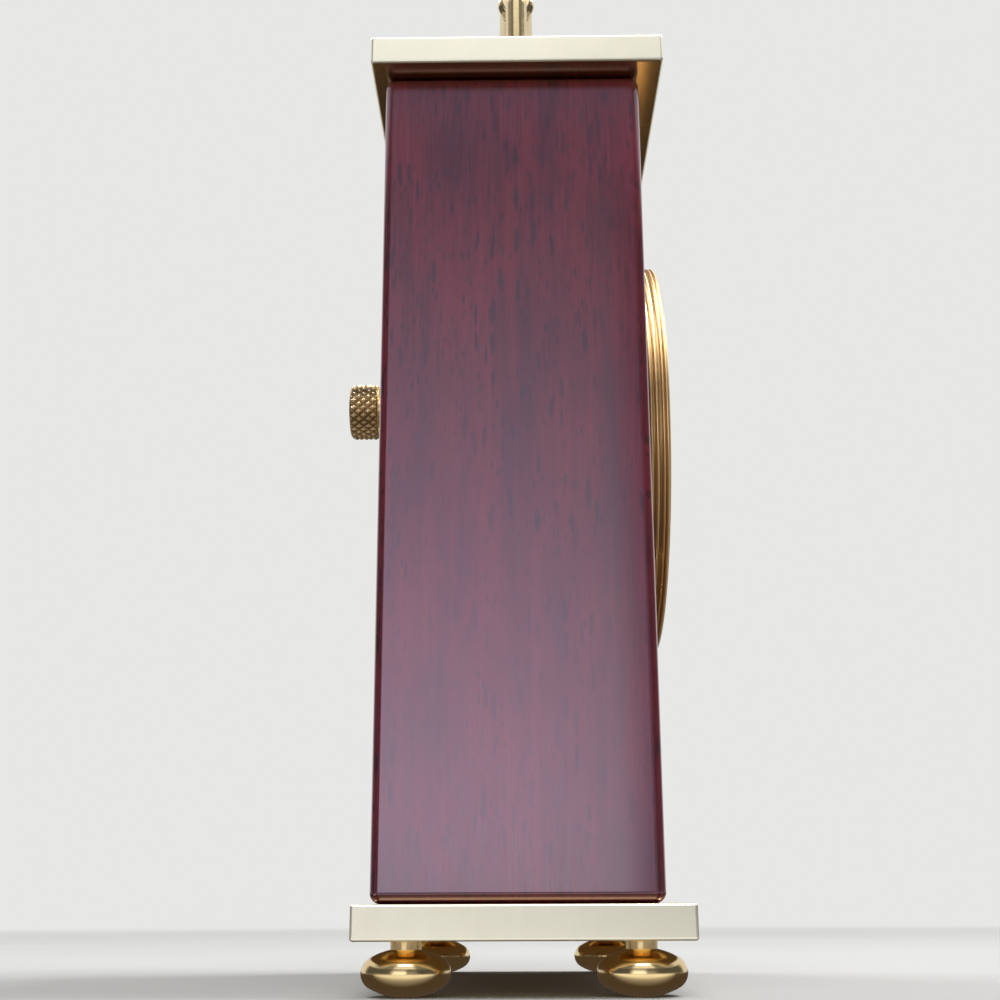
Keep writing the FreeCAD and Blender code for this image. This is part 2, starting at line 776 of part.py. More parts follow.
window_x = rotor_x + rotor_diameter / 2 + air_gap + stator_margin
coil_x = max(intermediate_distance + intermediate_wheel_radius, window_x) + coil_gap + coil_diameter / 2
coil_room = coil_length + 2 * air_gap
stator_bottom = rotor_z - rotor_diameter / 2 - air_gap - stator_margin
stator_top = stator_bottom + coil_room + 2 * stator_arm_width
coil_z = (stator_bottom + stator_top) / 2
board_x = board_inset + board_width / 2 - housing_inner
board_z = dial_z + housing_inner - board_inset - board_height / 2
board_back = inside_back - board_boss_length
board_front = board_back - board_thickness
boss_radius = housing_boss_diameter / 2
boss_x = (window_x + coil_x) / 2
bosses = [rod(boss_radius, board_back, housing_back, (board_x, board_z))]
for arm_z in (stator_bottom + stator_arm_width / 2, stator_top - stator_arm_width / 2):
    bosses.append(rod(boss_radius, stator_back, housing_back, (boss_x, arm_z)))
rear_half = slab(housing_outer, housing_corner_radius, split, housing_back)
rear_half = rear_half.cut(slab(housing_inner, inner_corner, split - overrun, inside_back))
rear_half = fuse_all([rear_half] + bosses)
slot_half = cell_slot_share * cell_radius
rear_half = cut_all(rear_half, [
    stem_hole,
    box(-cell_body_length / 2, cell_body_length / 2, inside_back - overrun, housing_back + overrun,
        cell_z - slot_half, cell_z + slot_half),
])
for spot in (centre_spot, third_spot, intermediate_spot, rotor_spot):
    rear_half = rear_half.cut(rod(pivot_hole_radius, inside_back - overrun, housing_back + overrun, spot))
parts["movement_cover"] = rear_half

# Bridge between motion work and train, cut away over the cell
bridge = slab(housing_inner - seat_clearance, inner_corner, bridge_front, bridge_back)
before_bridge = bridge_front - overrun
behind_bridge = bridge_back + overrun
housing_bottom = dial_z - housing_outer
cell_bay = box(-housing_outer, housing_outer, before_bridge, behind_bridge, housing_bottom, cell_top)
bridge = bridge.cut(cell_bay)
bridge = bridge.cut(stem_hole)
bridge = bridge.cut(rod(cannon_radius + running_clearance, before_bridge, behind_bridge, centre_spot))
for spot in (third_spot, intermediate_spot, rotor_spot):
    bridge = bridge.cut(rod(pivot_hole_radius, before_bridge, behind_bridge, spot))
parts["train_bridge"] = bridge

# Centre bush with its washer and nut, which clamp the movement to the dial
pipe_room = hour_pipe_radius + running_clearance
bush_room = bush_radius + seat_clearance
parts["centre_bush"] = tube(bush_radius, pipe_room, bush_front, inside_front, centre_spot)
parts["bush_washer"] = tube(washer_diameter / 2, bush_room, dial_back, housing_front, centre_spot)
nut_corner = nut_width / 2 / math.cos(math.pi / 6)
nut_points = []
for index in range(7):
    angle = index * math.pi / 3
    nut_points.append(Vector(nut_corner * math.cos(angle), nut_front, dial_z + nut_corner * math.sin(angle)))
nut = Part.Face(Part.makePolygon(nut_points)).extrude(Vector(0, nut_thickness, 0))
parts["bush_nut"] = nut.cut(rod(bush_room, nut_front - overrun, dial_front + overrun, centre_spot))

# Motion work: cannon pinion, minute wheel and hour wheel; the minute wheel's arbor is above the centre
up, left, right = 90, 180, 0
second_room = second_radius + running_clearance
cannon_front = minute_hand_back - hand_thickness - pipe_stand
cannon_back = centre_level + wheel_thickness
cannon = fuse_all([
    rod(cannon_radius, cannon_front, cannon_back, centre_spot),
    pinion(cannon_leaves, cannon_module, cannon_level, centre_spot, up),
])
cannon_bore = rod(second_room, cannon_front - overrun, cannon_back + overrun, centre_spot)
parts["cannon_pinion"] = cannon.cut(cannon_bore)

hour_front = hour_hand_back - hand_thickness - pipe_stand
hour_back = hour_level + wheel_thickness
hour_wheel = fuse_all([
    rod(hour_pipe_radius, hour_front, hour_back, centre_spot),
    wheel(hour_wheel_teeth, hour_module, hour_level, centre_spot, up),
])
hour_bore = cannon_radius + running_clearance
parts["hour_wheel"] = hour_wheel.cut(rod(hour_bore, hour_front - overrun, hour_back + overrun, centre_spot))

minute_back = cannon_level + wheel_thickness
stem_seat = stem_seat_diameter / 2
pinion_root = hour_module * (minute_pinion_leaves / 2 + root_share)
minute_wheel = fuse_all([
    wheel(minute_wheel_teeth, cannon_module, cannon_level, set_spot, gap_aim(up, minute_wheel_teeth)),
    pinion(minute_pinion_leaves, hour_module, hour_level, set_spot, gap_aim(up, minute_pinion_leaves)),
    rod(pinion_root, hour_level, minute_back, set_spot),
])
minute_bore = rod(stem_seat + running_clearance, hour_level - overrun, minute_back + overrun, set_spot)
parts["minute_wheel"] = minute_wheel.cut(minute_bore)

# Running train: third, centre, seconds and intermediate wheels and the rotor
parts["third_wheel"] = fuse_all([
    pinion(third_pinion_leaves, centre_module, centre_level, third_spot, gap_aim(left, third_pinion_leaves)),
    wheel(third_wheel_teeth, third_module, third_level, third_spot, gap_aim(left, third_wheel_teeth)),
    rod(pivot_radius, bridge_front, housing_back, third_spot),
    rod(second_radius, centre_level, third_level + wheel_thickness, third_spot),
])
centre_wheel = wheel(centre_wheel_teeth, centre_module, centre_level, centre_spot, left)
centre_bore = rod(hour_bore, centre_level - overrun, cannon_back + overrun, centre_spot)
parts["centre_wheel"] = centre_wheel.cut(centre_bore)
second_front = second_hand_back - hand_thickness - pipe_stand
parts["seconds_wheel"] = fuse_all([
    rod(second_radius, second_front, seconds_level + wheel_thickness, centre_spot),
    rod(pivot_radius, seconds_level, housing_back, centre_spot),
    pinion(seconds_pinion_leaves, third_module, third_level, centre_spot, left),
    wheel(seconds_wheel_teeth, seconds_module, seconds_level, centre_spot, right),
])
intermediate_aim = gap_aim(right, intermediate_pinion_leaves)
parts["intermediate_wheel"] = fuse_all([
    rod(pivot_radius, bridge_front, housing_back, intermediate_spot),
    rod(second_radius, seconds_level, intermediate_level + wheel_thickness, intermediate_spot),
    pinion(intermediate_pinion_leaves, seconds_module, seconds_level, intermediate_spot, intermediate_aim),
    wheel(intermediate_wheel_teeth, rotor_module, intermediate_level, intermediate_spot, rotor_bearing),
])
rotor_aim = gap_aim(rotor_bearing, rotor_pinion_leaves)
parts["rotor_pinion"] = fuse_all([
    rod(pivot_radius, bridge_front, housing_back, rotor_spot),
    pinion(rotor_pinion_leaves, rotor_module, intermediate_level, rotor_spot, rotor_aim),
])
magnet_bore = pivot_radius + running_clearance
parts["rotor_magnet"] = tube(rotor_diameter / 2, magnet_bore, stator_level, stator_back, rotor_spot)

# Motor: a stator plate round the rotor, and a coil on a core across its arms
stator_left = rotor_x - rotor_diameter / 2 - air_gap - stator_margin
stator_right = coil_x + coil_core_width / 2 + stator_margin
window_bottom = stator_bottom + stator_arm_width
window_top = stator_top - stator_arm_width
before_stator = stator_level - overrun
behind_stator = stator_back + overrun
stator = box(stator_left, stator_right, stator_level, stator_back, stator_bottom, stator_top)
parts["stator"] = cut_all(stator, [
    rod(rotor_diameter / 2 + air_gap, before_stator, behind_stator, rotor_spot),
    box(window_x, stator_right + overrun, before_stator, behind_stator, window_bottom, window_top),
])
core_front = stator_level - coil_core_thickness
core_half = coil_core_width / 2
core_left = coil_x - core_half
core_right = coil_x + core_half
parts["coil_core"] = box(core_left, core_right, core_front, stator_level, stator_bottom, stator_top)
coil_y = (core_front + stator_level) / 2
coil = upright(coil_diameter / 2, coil_z - coil_length / 2, coil_z + coil_length / 2, coil_x, coil_y)
parts["coil"] = coil.cut(box(
    core_left - seat_clearance, core_right + seat_clearance,
    core_front - seat_clearance, stator_level + seat_clearance,
    stator_bottom, stator_top,
))

# Circuit board on its boss, with the quartz can in front of it
half_board = board_width / 2
parts["circuit_board"] = box(
    board_x - half_board, board_x + half_board, board_front, board_back,
    board_z - board_height / 2, board_z + board_height / 2,
)
can_radius = quartz_can_diameter / 2
can_half = quartz_can_length / 2
can_y = board_front - can_radius
parts["quartz_can"] = upright(can_radius, board_z - can_half, board_z + can_half, board_x, can_y)

# Battery cell along X, with a sprung contact at each end
cell_start = Vector(-cell_length / 2, cell_y, cell_z)
parts["battery_cell"] = fuse_all([
    Part.makeCylinder(cell_radius, cell_body_length, cell_start, Vector(1, 0, 0)),
    Part.makeCylinder(cell_nub_diameter / 2, cell_length, cell_start, Vector(1, 0, 0)),
])
contact_half = contact_width / 2
crown_height = housing_inner - contact_thickness - cell_length / 2
crown_radius = contact_crown_diameter / 2
for name, side in (("negative", -1), ("positive", 1)):
    wall_x = side * housing_inner
    plate_x = side * (housing_inner - contact_thickness)
    plate = box(
        min(wall_x, plate_x), max(wall_x, plate_x),
        cell_y - contact_half, cell_y + contact_half, cell_z - contact_half, cell_z + contact_half,
    )
    crown_foot = Vector(plate_x, cell_y, cell_z)
    crown = Part.makeCone(crown_radius, crown_radius / 2, crown_height, crown_foot, Vector(-side, 0, 0))
    parts["battery_contact_" + name] = fuse_all([plate, crown])

# Rear cover with its screws, and the flanged bush for the stem
stem_bush_radius = stem_bush_diameter / 2
rear_cover = rod(rear_cover_radius, rear_cover_front, body_back, centre_spot)
stem_bush_hole = stem_bush_radius + seat_clearance
rear_cover = rear_cover.cut(rod(stem_bush_hole, rear_cover_front - overrun, body_back + overrun, set_spot))
rear_screws = []
for spot in around(rear_screw_count, (bore_radius + rear_cover_radius) / 2, rear_screw_step_share):
    size = (rear_screw_diameter, rear_screw_head_diameter, rear_screw_length)
    socket = lay_back(screw(*size, seat_clearance), spot, body_back, -1)
    rear_cover = rear_cover.cut(socket)
    body = body.cut(socket)
    rear_screws.append(lay_back(slotted_screw(*size), spot, body_back, -1))
parts["rear_cover"] = rear_cover
parts["rear_cover_screws"] = Part.makeCompound(rear_screws)
parts["case_body"] = body
stem_room = stem_radius + running_clearance
bush_start = body_back - stem_bush_length
parts["stem_bush"] = fuse_all([
    rod(stem_bush_radius, bush_start, body_back, set_spot),
    rod(stem_bush_flange_diameter / 2, body_back, bush_flange_back, set_spot),
]).cut(rod(stem_room, bush_start - overrun, bush_flange_back + overrun, set_spot))

# Stem: a thin pivot in front, a seat for the minute wheel, and a plain shaft to the knob
parts["set_stem"] = fuse_all([
    rod(pivot_radius, housing_front, minute_back, set_spot),
    rod(stem_seat, hour_level, minute_back, set_spot),
    rod(stem_radius, minute_back, stem_back, set_spot),
])


# Setting knob: a smooth collar and a head with crossed knurling
def knurled_bar(radius, depth, length, around_count, along_count):
    """Bar about Z with pointed diamonds: peaks and hollows alternate on a grid of half steps."""
    steps_around = 2 * around_count
    steps_along = 2 * along_count
    rings = []
    for row in range(steps_along + 1):
        ring = []
        for step in range(steps_around):
            angle = math.pi * step / around_count
            reach = radius - depth * ((row + step + 1) % 2)
            ring.append(Vector(reach * math.cos(angle), reach * math.sin(angle), row * length / steps_along))
        rings.append(ring)
    faces = []
    for row in range(steps_along):
        for step in range(steps_around):
            corners = (
                rings[row][step],
                rings[row][(step + 1) % steps_around],
                rings[row + 1][(step + 1) % steps_around],
                rings[row + 1][step],
            )
            # The fold of each cell runs between its two hollows
            first = (row + step) % 2
            a, b, c, d = corners[first:] + corners[:first]
            for triangle in ((a, b, c, a), (a, c, d, a)):
                faces.append(Part.Face(Part.makePolygon(triangle)))
    for ring in (rings[0], rings[-1]):
        middle = Vector(0, 0, ring[0].z)
        for step in range(steps_around):
            following = ring[(step + 1) % steps_around]
            faces.append(Part.Face(Part.makePolygon([middle, ring[step], following, middle])))
    return Part.makeSolid(Part.makeShell(faces))


knob_radius = knob_diameter / 2
knob_collar_front = bush_flange_back + air_gap
head = knurled_bar(knob_radius, knurl_depth, knob_length, knurl_around_count, knurl_along_count)
chamfered = lathe(outline(
    (0, 0),
    (knob_radius - knob_chamfer, 0),
    (knob_radius + knob_chamfer, 2 * knob_chamfer),
    (knob_radius + knob_chamfer, knob_length - 2 * knob_chamfer),
    (knob_radius - knob_chamfer, knob_length),
    (0, knob_length),
    (0, 0),
))
head = lay_back(head.common(chamfered), set_spot, knob_face)
knob = fuse_all([head, rod(knob_collar_diameter / 2, knob_collar_front, knob_face, set_spot)])
parts["set_knob"] = knob.cut(rod(stem_room, knob_collar_front - overrun, stem_back, set_spot))

os.makedirs("parts", exist_ok=True)
for name, shape in parts.items():
    shape.exportStep("parts/" + name + ".step")
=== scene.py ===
import math

import bmesh
import bpy
import numpy as np
from bpy.props import FloatProperty, FloatVectorProperty, IntProperty, PointerProperty
from mathutils import Matrix, Vector


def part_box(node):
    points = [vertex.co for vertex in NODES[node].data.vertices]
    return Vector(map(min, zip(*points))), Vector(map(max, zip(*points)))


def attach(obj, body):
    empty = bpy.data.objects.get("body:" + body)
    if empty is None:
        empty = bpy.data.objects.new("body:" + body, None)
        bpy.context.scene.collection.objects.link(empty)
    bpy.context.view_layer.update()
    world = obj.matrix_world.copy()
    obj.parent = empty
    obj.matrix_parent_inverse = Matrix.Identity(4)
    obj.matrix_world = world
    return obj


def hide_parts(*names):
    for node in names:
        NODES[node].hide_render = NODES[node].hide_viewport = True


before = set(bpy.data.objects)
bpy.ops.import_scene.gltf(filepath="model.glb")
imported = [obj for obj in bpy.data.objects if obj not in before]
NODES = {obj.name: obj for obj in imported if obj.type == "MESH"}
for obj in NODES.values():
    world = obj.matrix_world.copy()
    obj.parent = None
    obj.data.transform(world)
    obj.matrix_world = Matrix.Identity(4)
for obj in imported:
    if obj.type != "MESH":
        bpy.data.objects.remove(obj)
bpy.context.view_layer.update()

bl_info = {
    "name": "Desk clock finishes",
    "version": (1, 0, 0),
    "blender": (4, 5, 0),
    "location": "View3D > Sidebar > Clock",
    "description": "Finishes, dial print, knurling and stage of a brass and lacquered wood desk clock",
    "category": "Object",
}

MM = 0.001
TURN = 2 * math.pi

# Places read from the frame
DIAL_LOW, DIAL_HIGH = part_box("dial")
BEZEL_LOW, BEZEL_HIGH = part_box("bezel")
KNOB_LOW, KNOB_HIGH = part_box("set_knob")
BODY_LOW, BODY_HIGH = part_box("case_body")
DIAL_MIDDLE = (DIAL_LOW + DIAL_HIGH) / 2
KNOB_MIDDLE = (KNOB_LOW + KNOB_HIGH) / 2
BODY_MIDDLE = (BODY_LOW + BODY_HIGH) / 2
BEZEL_RADIUS = (BEZEL_HIGH.z - BEZEL_LOW.z) / 2
KNOB_RADIUS = (KNOB_HIGH.z - KNOB_LOW.z) / 2


def length(name, description, default):
    """Size in metres that shows in the user's units."""
    return FloatProperty(name=name, description=description, default=default, unit="LENGTH", precision=5)


def angle(name, description, default):
    """Angle in radians that shows in the user's units."""
    return FloatProperty(name=name, description=description, default=default, subtype="ANGLE")


def tone(name, description, default):
    """Linear colour of a finish."""
    return FloatVectorProperty(
        name=name, description=description, default=default, subtype="COLOR", size=3, min=0, max=1
    )


class ClockSizes(bpy.types.PropertyGroup):
    """Sizes of the printed dial, the knurling and the stage."""

    numeral_height: length("Numeral height", "Height of a numeral from foot to head", 7.0 * MM)
    numeral_radius: length("Numeral radius", "From the dial's centre to a numeral's middle", 27.6 * MM)
    numeral_stem: length("Numeral stem", "Width of a thick stroke", 1.05 * MM)
    numeral_hair: length("Numeral hairline", "Width of a thin stroke and of the serifs", 0.3 * MM)
    track_outer: length("Track outer radius", "Outer circle of the minute track", 35.4 * MM)
    track_inner: length("Track inner radius", "Inner circle of the minute track", 33.3 * MM)
    track_line: length("Track line", "Width of the two circles and of a minute stroke", 0.26 * MM)
    hour_stroke: length("Hour stroke", "Width of every fifth minute stroke", 1.0 * MM)
    print_height: length("Print height", "Thickness of the printed ink", 0.04 * MM)
    knurl_around: IntProperty(name="Knurls around", description="Diamonds round the knob", default=21, min=6)
    knurl_along: IntProperty(name="Knurls along", description="Diamonds along the knob", default=3, min=1)
    knurl_depth: length("Knurl depth", "Depth of the crossed grooves", 0.5 * MM)
    knob_head: length("Knob head", "Length of the knurled head", 6.6 * MM)
    knob_chamfer: length("Knob chamfer", "Chamfer at both ends of the head", 0.7 * MM)
    knob_collar: length("Knob collar", "Diameter of the smooth collar", 7.2 * MM)
    floor_radius: length("Floor radius", "Half the width of the round floor", 2.4)
    floor_fade: length("Floor fade", "Where the floor starts to melt into the backdrop", 0.35)
    lens: FloatProperty(name="Lens", description="Focal length on a 36 mm sensor", default=51.19, min=1)
    camera_distance: length("Camera distance", "Distance of the camera from the clock's middle", 315.1 * MM)
    camera_height: length("Camera height", "Height of the camera above the floor", 13.95 * MM)
    camera_bearing: angle("Camera bearing", "Turn of the view from the left flank's normal", 0.011)
    camera_lift: angle("Camera lift", "Upward tilt of the view", 0.283)
    camera_roll: angle("Camera roll", "Tilt of the picture", -0.004)


class ClockTones(bpy.types.PropertyGroup):
    """Colours of the finishes and of the stage."""

    wood_deep: tone("Deep wood", "Dark bands of the mahogany", (0.058, 0.006, 0.010))
    wood_mid: tone("Middle wood", "Main tone of the mahogany", (0.102, 0.008, 0.012))
    wood_light: tone("Light wood", "Bright ribbons of the mahogany", (0.148, 0.011, 0.017))
    wood_pore: tone("Wood pore", "Short dark flecks along the grain", (0.010, 0.004, 0.007))
    wood_veil: tone("Lacquer veil", "Tint of the sheen under the clear coat", (1.0, 0.66, 1.0))
    plate_brass: tone("Plate brass", "Pale polished brass of the plates' rims", (0.95, 0.92, 0.77))
    bun_brass: tone("Bun brass", "Golden brass of the feet and the plates' faces", (0.97, 0.75, 0.40))
    bezel_brass: tone("Bezel brass", "Warm gilt of the reeded bezel", (1.0, 0.70, 0.34))
    knob_brass: tone("Knob brass", "Olive brass of the knurled knob", (0.97, 0.78, 0.53))
    cover_brass: tone("Cover brass", "Spun brass of the rear cover", (0.90, 0.73, 0.42))
    plain_brass: tone("Plain brass", "Turned brass of the inner pieces", (0.72, 0.56, 0.28))
    # This brown is also the painted shade on the plates' faces towards the wood
    tarnish_and_painted_shade: tone("Tarnish", "Brown film in grooves and thumb marks", (0.20, 0.11, 0.04))
    dial_cream: tone("Dial cream", "Paint of the dial", (0.84, 0.78, 0.64))
    dial_shade: tone("Dial shade", "Darker mottle of the dial's paint", (0.76, 0.69, 0.53))
    ink: tone("Ink", "Printed numerals and the hands", (0.012, 0.012, 0.013))
    floor: tone("Floor", "Pale studio floor", (0.44, 0.44, 0.43))
    # The three mirrored tones are painted reflections: the floor glows in them for glossy rays alone; the
    # dark one is painted shade, and the strip is a painted highlight on the feet
    mirrored_floor: tone("Mirrored floor", "Floor as polished surfaces show it", (0.075, 0.055, 0.040))
    mirrored_far: tone("Mirrored far floor", "Floor farther off as they show it", (0.36, 0.34, 0.31))
    mirrored_strip: tone("Mirrored strip", "Floor close to the left as they show it", (1.0, 0.98, 0.94))
    backdrop: tone("Backdrop", "Pale ground behind the clock", (0.80, 0.80, 0.79))


def sizes():
    return bpy.context.scene.clock_sizes


def tones():
    return bpy.context.scene.clock_tones


def rgba(colour):
    return (colour[0], colour[1], colour[2], 1.0)


def mixed(first, second, share=0.5):
    """Colour that lies between two others."""
    return tuple(a + (b - a) * share for a, b in zip(first, second))


# Meshes and objects

MERGE_DISTANCE = 0.0001 * MM
KNURL_CREASE = math.radians(24)
PLAIN_CREASE = math.radians(30)


def sheet_faces(rows, columns, close_rows, close_columns):
    """Four-cornered faces of a grid whose points are numbered row by row."""
    row = np.arange(rows if close_rows else rows - 1)[:, None]
    column = np.arange(columns if close_columns else columns - 1)[None, :]
    next_row = (row + 1) % rows
    next_column = (column + 1) % columns
    corners = [row * columns + column, row * columns + next_column]
    corners += [next_row * columns + next_column, next_row * columns + column]
    return np.stack(np.broadcast_arrays(*corners), axis=-1).reshape(-1, 4)


def new_mesh(name, points, faces, crease=None):
    """Mesh with its faces outwards; with a crease angle its doubles merge and flatter edges turn smooth."""
    mesh = bpy.data.meshes.new(name)
    mesh.from_pydata(points.reshape(-1, 3).tolist(), [], faces.tolist())
    shape = bmesh.new()
    shape.from_mesh(mesh)
    if crease is not None:
        bmesh.ops.remove_doubles(shape, verts=shape.verts, dist=MERGE_DISTANCE)
    bmesh.ops.recalc_face_normals(shape, faces=shape.faces)
    shape.to_mesh(mesh)
    shape.free()
    if crease is not None:
        mesh.shade_smooth()
        mesh.set_sharp_from_angle(angle=crease)
    return mesh


def new_object(name, data):
    """Object at the origin, put into the scene."""
    made = bpy.data.objects.new(name, data)
    bpy.context.scene.collection.objects.link(made)
    return made


def add_piece(mesh, body, slot, material, *replaced):
    """Puts a mesh into the scene as a piece that rides on a body and stands for the replaced nodes."""
    piece = new_object(mesh.name, mesh)
    mesh.materials.append(material)
    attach(piece, body)
    if replaced:
        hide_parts(*replaced)


def dress(material, *names):
    """Gives CAD nodes a finish."""
    for name in names:
        for holder in NODES[name].material_slots:
            holder.material = material


# Shader nodes


def set_inputs(tree, node, inputs):
    """Sets a node's inputs to values, or joins them to sockets."""
    for key, value in inputs.items():
        if isinstance(value, bpy.types.NodeSocket):
            tree.links.new(value, node.inputs[key])
        else:
            node.inputs[key].default_value = value


def add_node(tree, kind, inputs=None, **settings):
    """Shader node with its settings and its inputs."""
    node = tree.nodes.new("ShaderNode" + kind)
    for key, value in settings.items():
        setattr(node, key, value)
    set_inputs(tree, node, inputs or {})
    return node


def feed(tree, shader, **inputs):
    """Sets or joins the inputs of a shader; underscores stand for spaces in their names."""
    set_inputs(tree, shader, {key.replace("_", " "): value for key, value in inputs.items()})


def ramp(tree, factor, *stops):
    """Colour ramp through stops of place and colour."""
    node = add_node(tree, "ValToRGB", {"Fac": factor})
    elements = node.color_ramp.elements
    while len(elements) < len(stops):
        elements.new(1.0)
    for element, (place, colour) in zip(elements, stops):
        element.position = place
        element.color = rgba(colour)
    return node.outputs["Color"]


def span(tree, value, start, end, to_start=0.0, to_end=1.0):
    """Value carried from one range to another, and held at its ends."""
    inputs = {"Value": value, "From Min": start, "From Max": end, "To Min": to_start, "To Max": to_end}
    return add_node(tree, "MapRange", inputs).outputs["Result"]


def noise(tree, place, detail, roughness, scale=1.0, stretch=(1, 1, 1)):
    """Cloud of values between zero and one, stretched along the axes."""
    moved = add_node(tree, "Mapping", {"Vector": place, "Scale": stretch})
    inputs = {"Vector": moved.outputs["Vector"], "Scale": scale, "Detail": detail, "Roughness": roughness}
    return add_node(tree, "TexNoise", inputs).outputs["Fac"]


def reckon(tree, operation, first, second=0.0):
    """Result of one sum."""
    return add_node(tree, "Math", {0: first, 1: second}, operation=operation).outputs["Value"]


def product(tree, first, second):
    return reckon(tree, "MULTIPLY", first, second)


def total(tree, first, second):
    return reckon(tree, "ADD", first, second)


def gap(tree, first, second):
    """Difference of two values, without its sign."""
    return reckon(tree, "ABSOLUTE", reckon(tree, "SUBTRACT", first, second))


def vector_sum(tree, operation, *terms):
    return add_node(tree, "VectorMath", dict(enumerate(terms)), operation=operation).outputs


def mix_colour(tree, factor, first, second):
    return add_node(tree, "MixRGB", {"Fac": factor, "Color1": first, "Color2": second}).outputs["Color"]


def mix_shader(tree, factor, first, second):
    return add_node(tree, "MixShader", {0: factor, 1: first, 2: second}).outputs["Shader"]


def object_place(tree):
    return add_node(tree, "TexCoord").outputs["Object"]


def axes_of(tree, vector):
    return add_node(tree, "SeparateXYZ", {"Vector": vector}).outputs


def off_axis(tree, place, middle):
    """Distance from the front-to-back axis through a point."""
    moved = vector_sum(tree, "SUBTRACT", place, tuple(middle))["Vector"]
    flat = vector_sum(tree, "MULTIPLY", moved, (1, 0, 1))["Vector"]
    return vector_sum(tree, "LENGTH", flat)["Value"]


def bump(tree, height, distance, strength):
    inputs = {"Height": height, "Distance": distance, "Strength": strength}
    return add_node(tree, "Bump", inputs).outputs["Normal"]


def blank_tree(owner):
    """Emptied node tree of a material or a world."""
    owner.use_nodes = True
    owner.node_tree.nodes.clear()
    return owner.node_tree


def new_material(name):
    """Material with a Principled shader alone; returns its tree and the shader too."""
    material = bpy.data.materials.new(name)
    tree = blank_tree(material)
    shader = add_node(tree, "BsdfPrincipled")
    add_node(tree, "OutputMaterial", {"Surface": shader.outputs["BSDF"]})
    return material, tree, shader


# Finishes that many pieces share

HANDLED_METAL = "Handled metal"
MOULDED = "Moulded surface"
METAL_SCRATCH = 0.02 * MM
MOULDED_BUMP_SHARE = 0.4
GROUP_OUTPUTS = {"Color": "NodeSocketColor", "Roughness": "NodeSocketFloat", "Height": "NodeSocketFloat"}


def group_tree(name, colours, values):
    """Empty node group with named sockets; returns the tree, its entry's outputs and its exit node."""
    tree = bpy.data.node_groups.new(name, "ShaderNodeTree")
    for label in colours:
        tree.interface.new_socket(label, in_out="INPUT", socket_type="NodeSocketColor")
    for label in values:
        tree.interface.new_socket(label, in_out="INPUT", socket_type="NodeSocketFloat")
    for label, kind in GROUP_OUTPUTS.items():
        tree.interface.new_socket(label, in_out="OUTPUT", socket_type=kind)
    return tree, tree.nodes.new("NodeGroupInput").outputs, tree.nodes.new("NodeGroupOutput")


def make_handled_metal():
    """Metal that has been polished and touched: cloudy tone, a smeared polish and fine scratches."""
    tree, given, leave = group_tree(
        HANDLED_METAL, ("Tone", "Film"), ("Film amount", "Polish", "Haze", "Patch scale")
    )
    place = object_place(tree)
    patches = noise(tree, place, detail=5.0, roughness=0.62, scale=given["Patch scale"])
    smears = noise(tree, place, detail=4.0, roughness=0.6, scale=260.0, stretch=(1.0, 1.0, 0.35))
    scratches = noise(tree, place, detail=2.0, roughness=0.5, scale=900.0, stretch=(0.25, 1.0, 3.0))
    cross_scratches = noise(tree, place, detail=2.0, roughness=0.5, scale=700.0, stretch=(2.6, 0.3, 0.6))
    film = product(tree, span(tree, patches, 0.48, 0.75), given["Film amount"])
    worn = product(tree, span(tree, smears, 0.35, 0.7, to_end=0.6), given["Film amount"])
    colour = mix_colour(tree, film, given["Tone"], given["Film"])
    colour = mix_colour(tree, worn, colour, given["Film"])
    fine = product(tree, scratches, cross_scratches)
    spread = reckon(tree, "SUBTRACT", given["Haze"], given["Polish"])
    smeared = product(tree, span(tree, smears, 0.3, 0.75, to_end=0.8), spread)
    scratched = product(tree, span(tree, fine, 0.2, 0.45, to_end=0.4), spread)
    roughness = total(tree, given["Polish"], total(tree, smeared, scratched))
    set_inputs(tree, leave, {"Color": colour, "Roughness": roughness, "Height": fine})


def make_moulded():
    """Moulded or painted surface: a fine speckle of tone, a slightly uneven gloss and a faint grain."""
    tree, given, leave = group_tree(MOULDED, ("Tone", "Shade"), ("Gloss", "Grain scale"))
    place = object_place(tree)
    clouds = noise(tree, place, detail=4.0, roughness=0.6, scale=90.0)
    grain = noise(tree, place, detail=2.0, roughness=0.5, scale=given["Grain scale"])
    cloudy = span(tree, clouds, 0.35, 0.7, to_end=0.6)
    speckled = span(tree, grain, 0.4, 0.7, to_end=0.4)
    colour = mix_colour(tree, total(tree, cloudy, speckled), given["Tone"], given["Shade"])
    roughness = total(tree, given["Gloss"], span(tree, clouds, 0.3, 0.7, to_start=-0.05, to_end=0.07))
    set_inputs(tree, leave, {"Color": colour, "Roughness": roughness, "Height": grain})


def place_group(tree, name, inputs):
    return add_node(tree, "Group", inputs, node_tree=bpy.data.node_groups[name]).outputs


def brass(name, colour, film, polish, haze, patches=45.0, relief=0.06):
    """Metal finish from the shared group; returns material, tree, shader and the group's outputs."""
    material, tree, shader = new_material(name)
    made = place_group(tree, HANDLED_METAL, {
        "Tone": rgba(colour), "Film": rgba(tones().tarnish_and_painted_shade), "Film amount": film,
        "Polish": polish, "Haze": haze, "Patch scale": patches,
    })
    feed(tree, shader, Base_Color=made["Color"], Roughness=made["Roughness"], Metallic=1.0)
    feed(tree, shader, Normal=bump(tree, made["Height"], METAL_SCRATCH, relief))
    return material, tree, shader, made


def darken(tree, shader, colour, where):
    """Browns a metal's colour where a mask is high: film in grooves and spun lines, and on the plates a
    painted shade.
    """
    feed(tree, shader, Base_Color=mix_colour(tree, where, colour, rgba(tones().tarnish_and_painted_shade)))


def moulded(name, colour, shade, gloss, grain, depth):
    """Plastic or paint finish from the shared group; the grain's depth is in metres."""
    material, tree, shader = new_material(name)
    made = place_group(tree, MOULDED, {
        "Tone": rgba(colour), "Shade": rgba(shade), "Gloss": gloss, "Grain scale": grain,
    })
    feed(tree, shader, Base_Color=made["Color"], Roughness=made["Roughness"])
    feed(tree, shader, Normal=bump(tree, made["Height"], depth, MOULDED_BUMP_SHARE))
    return material, tree, shader


# Operators


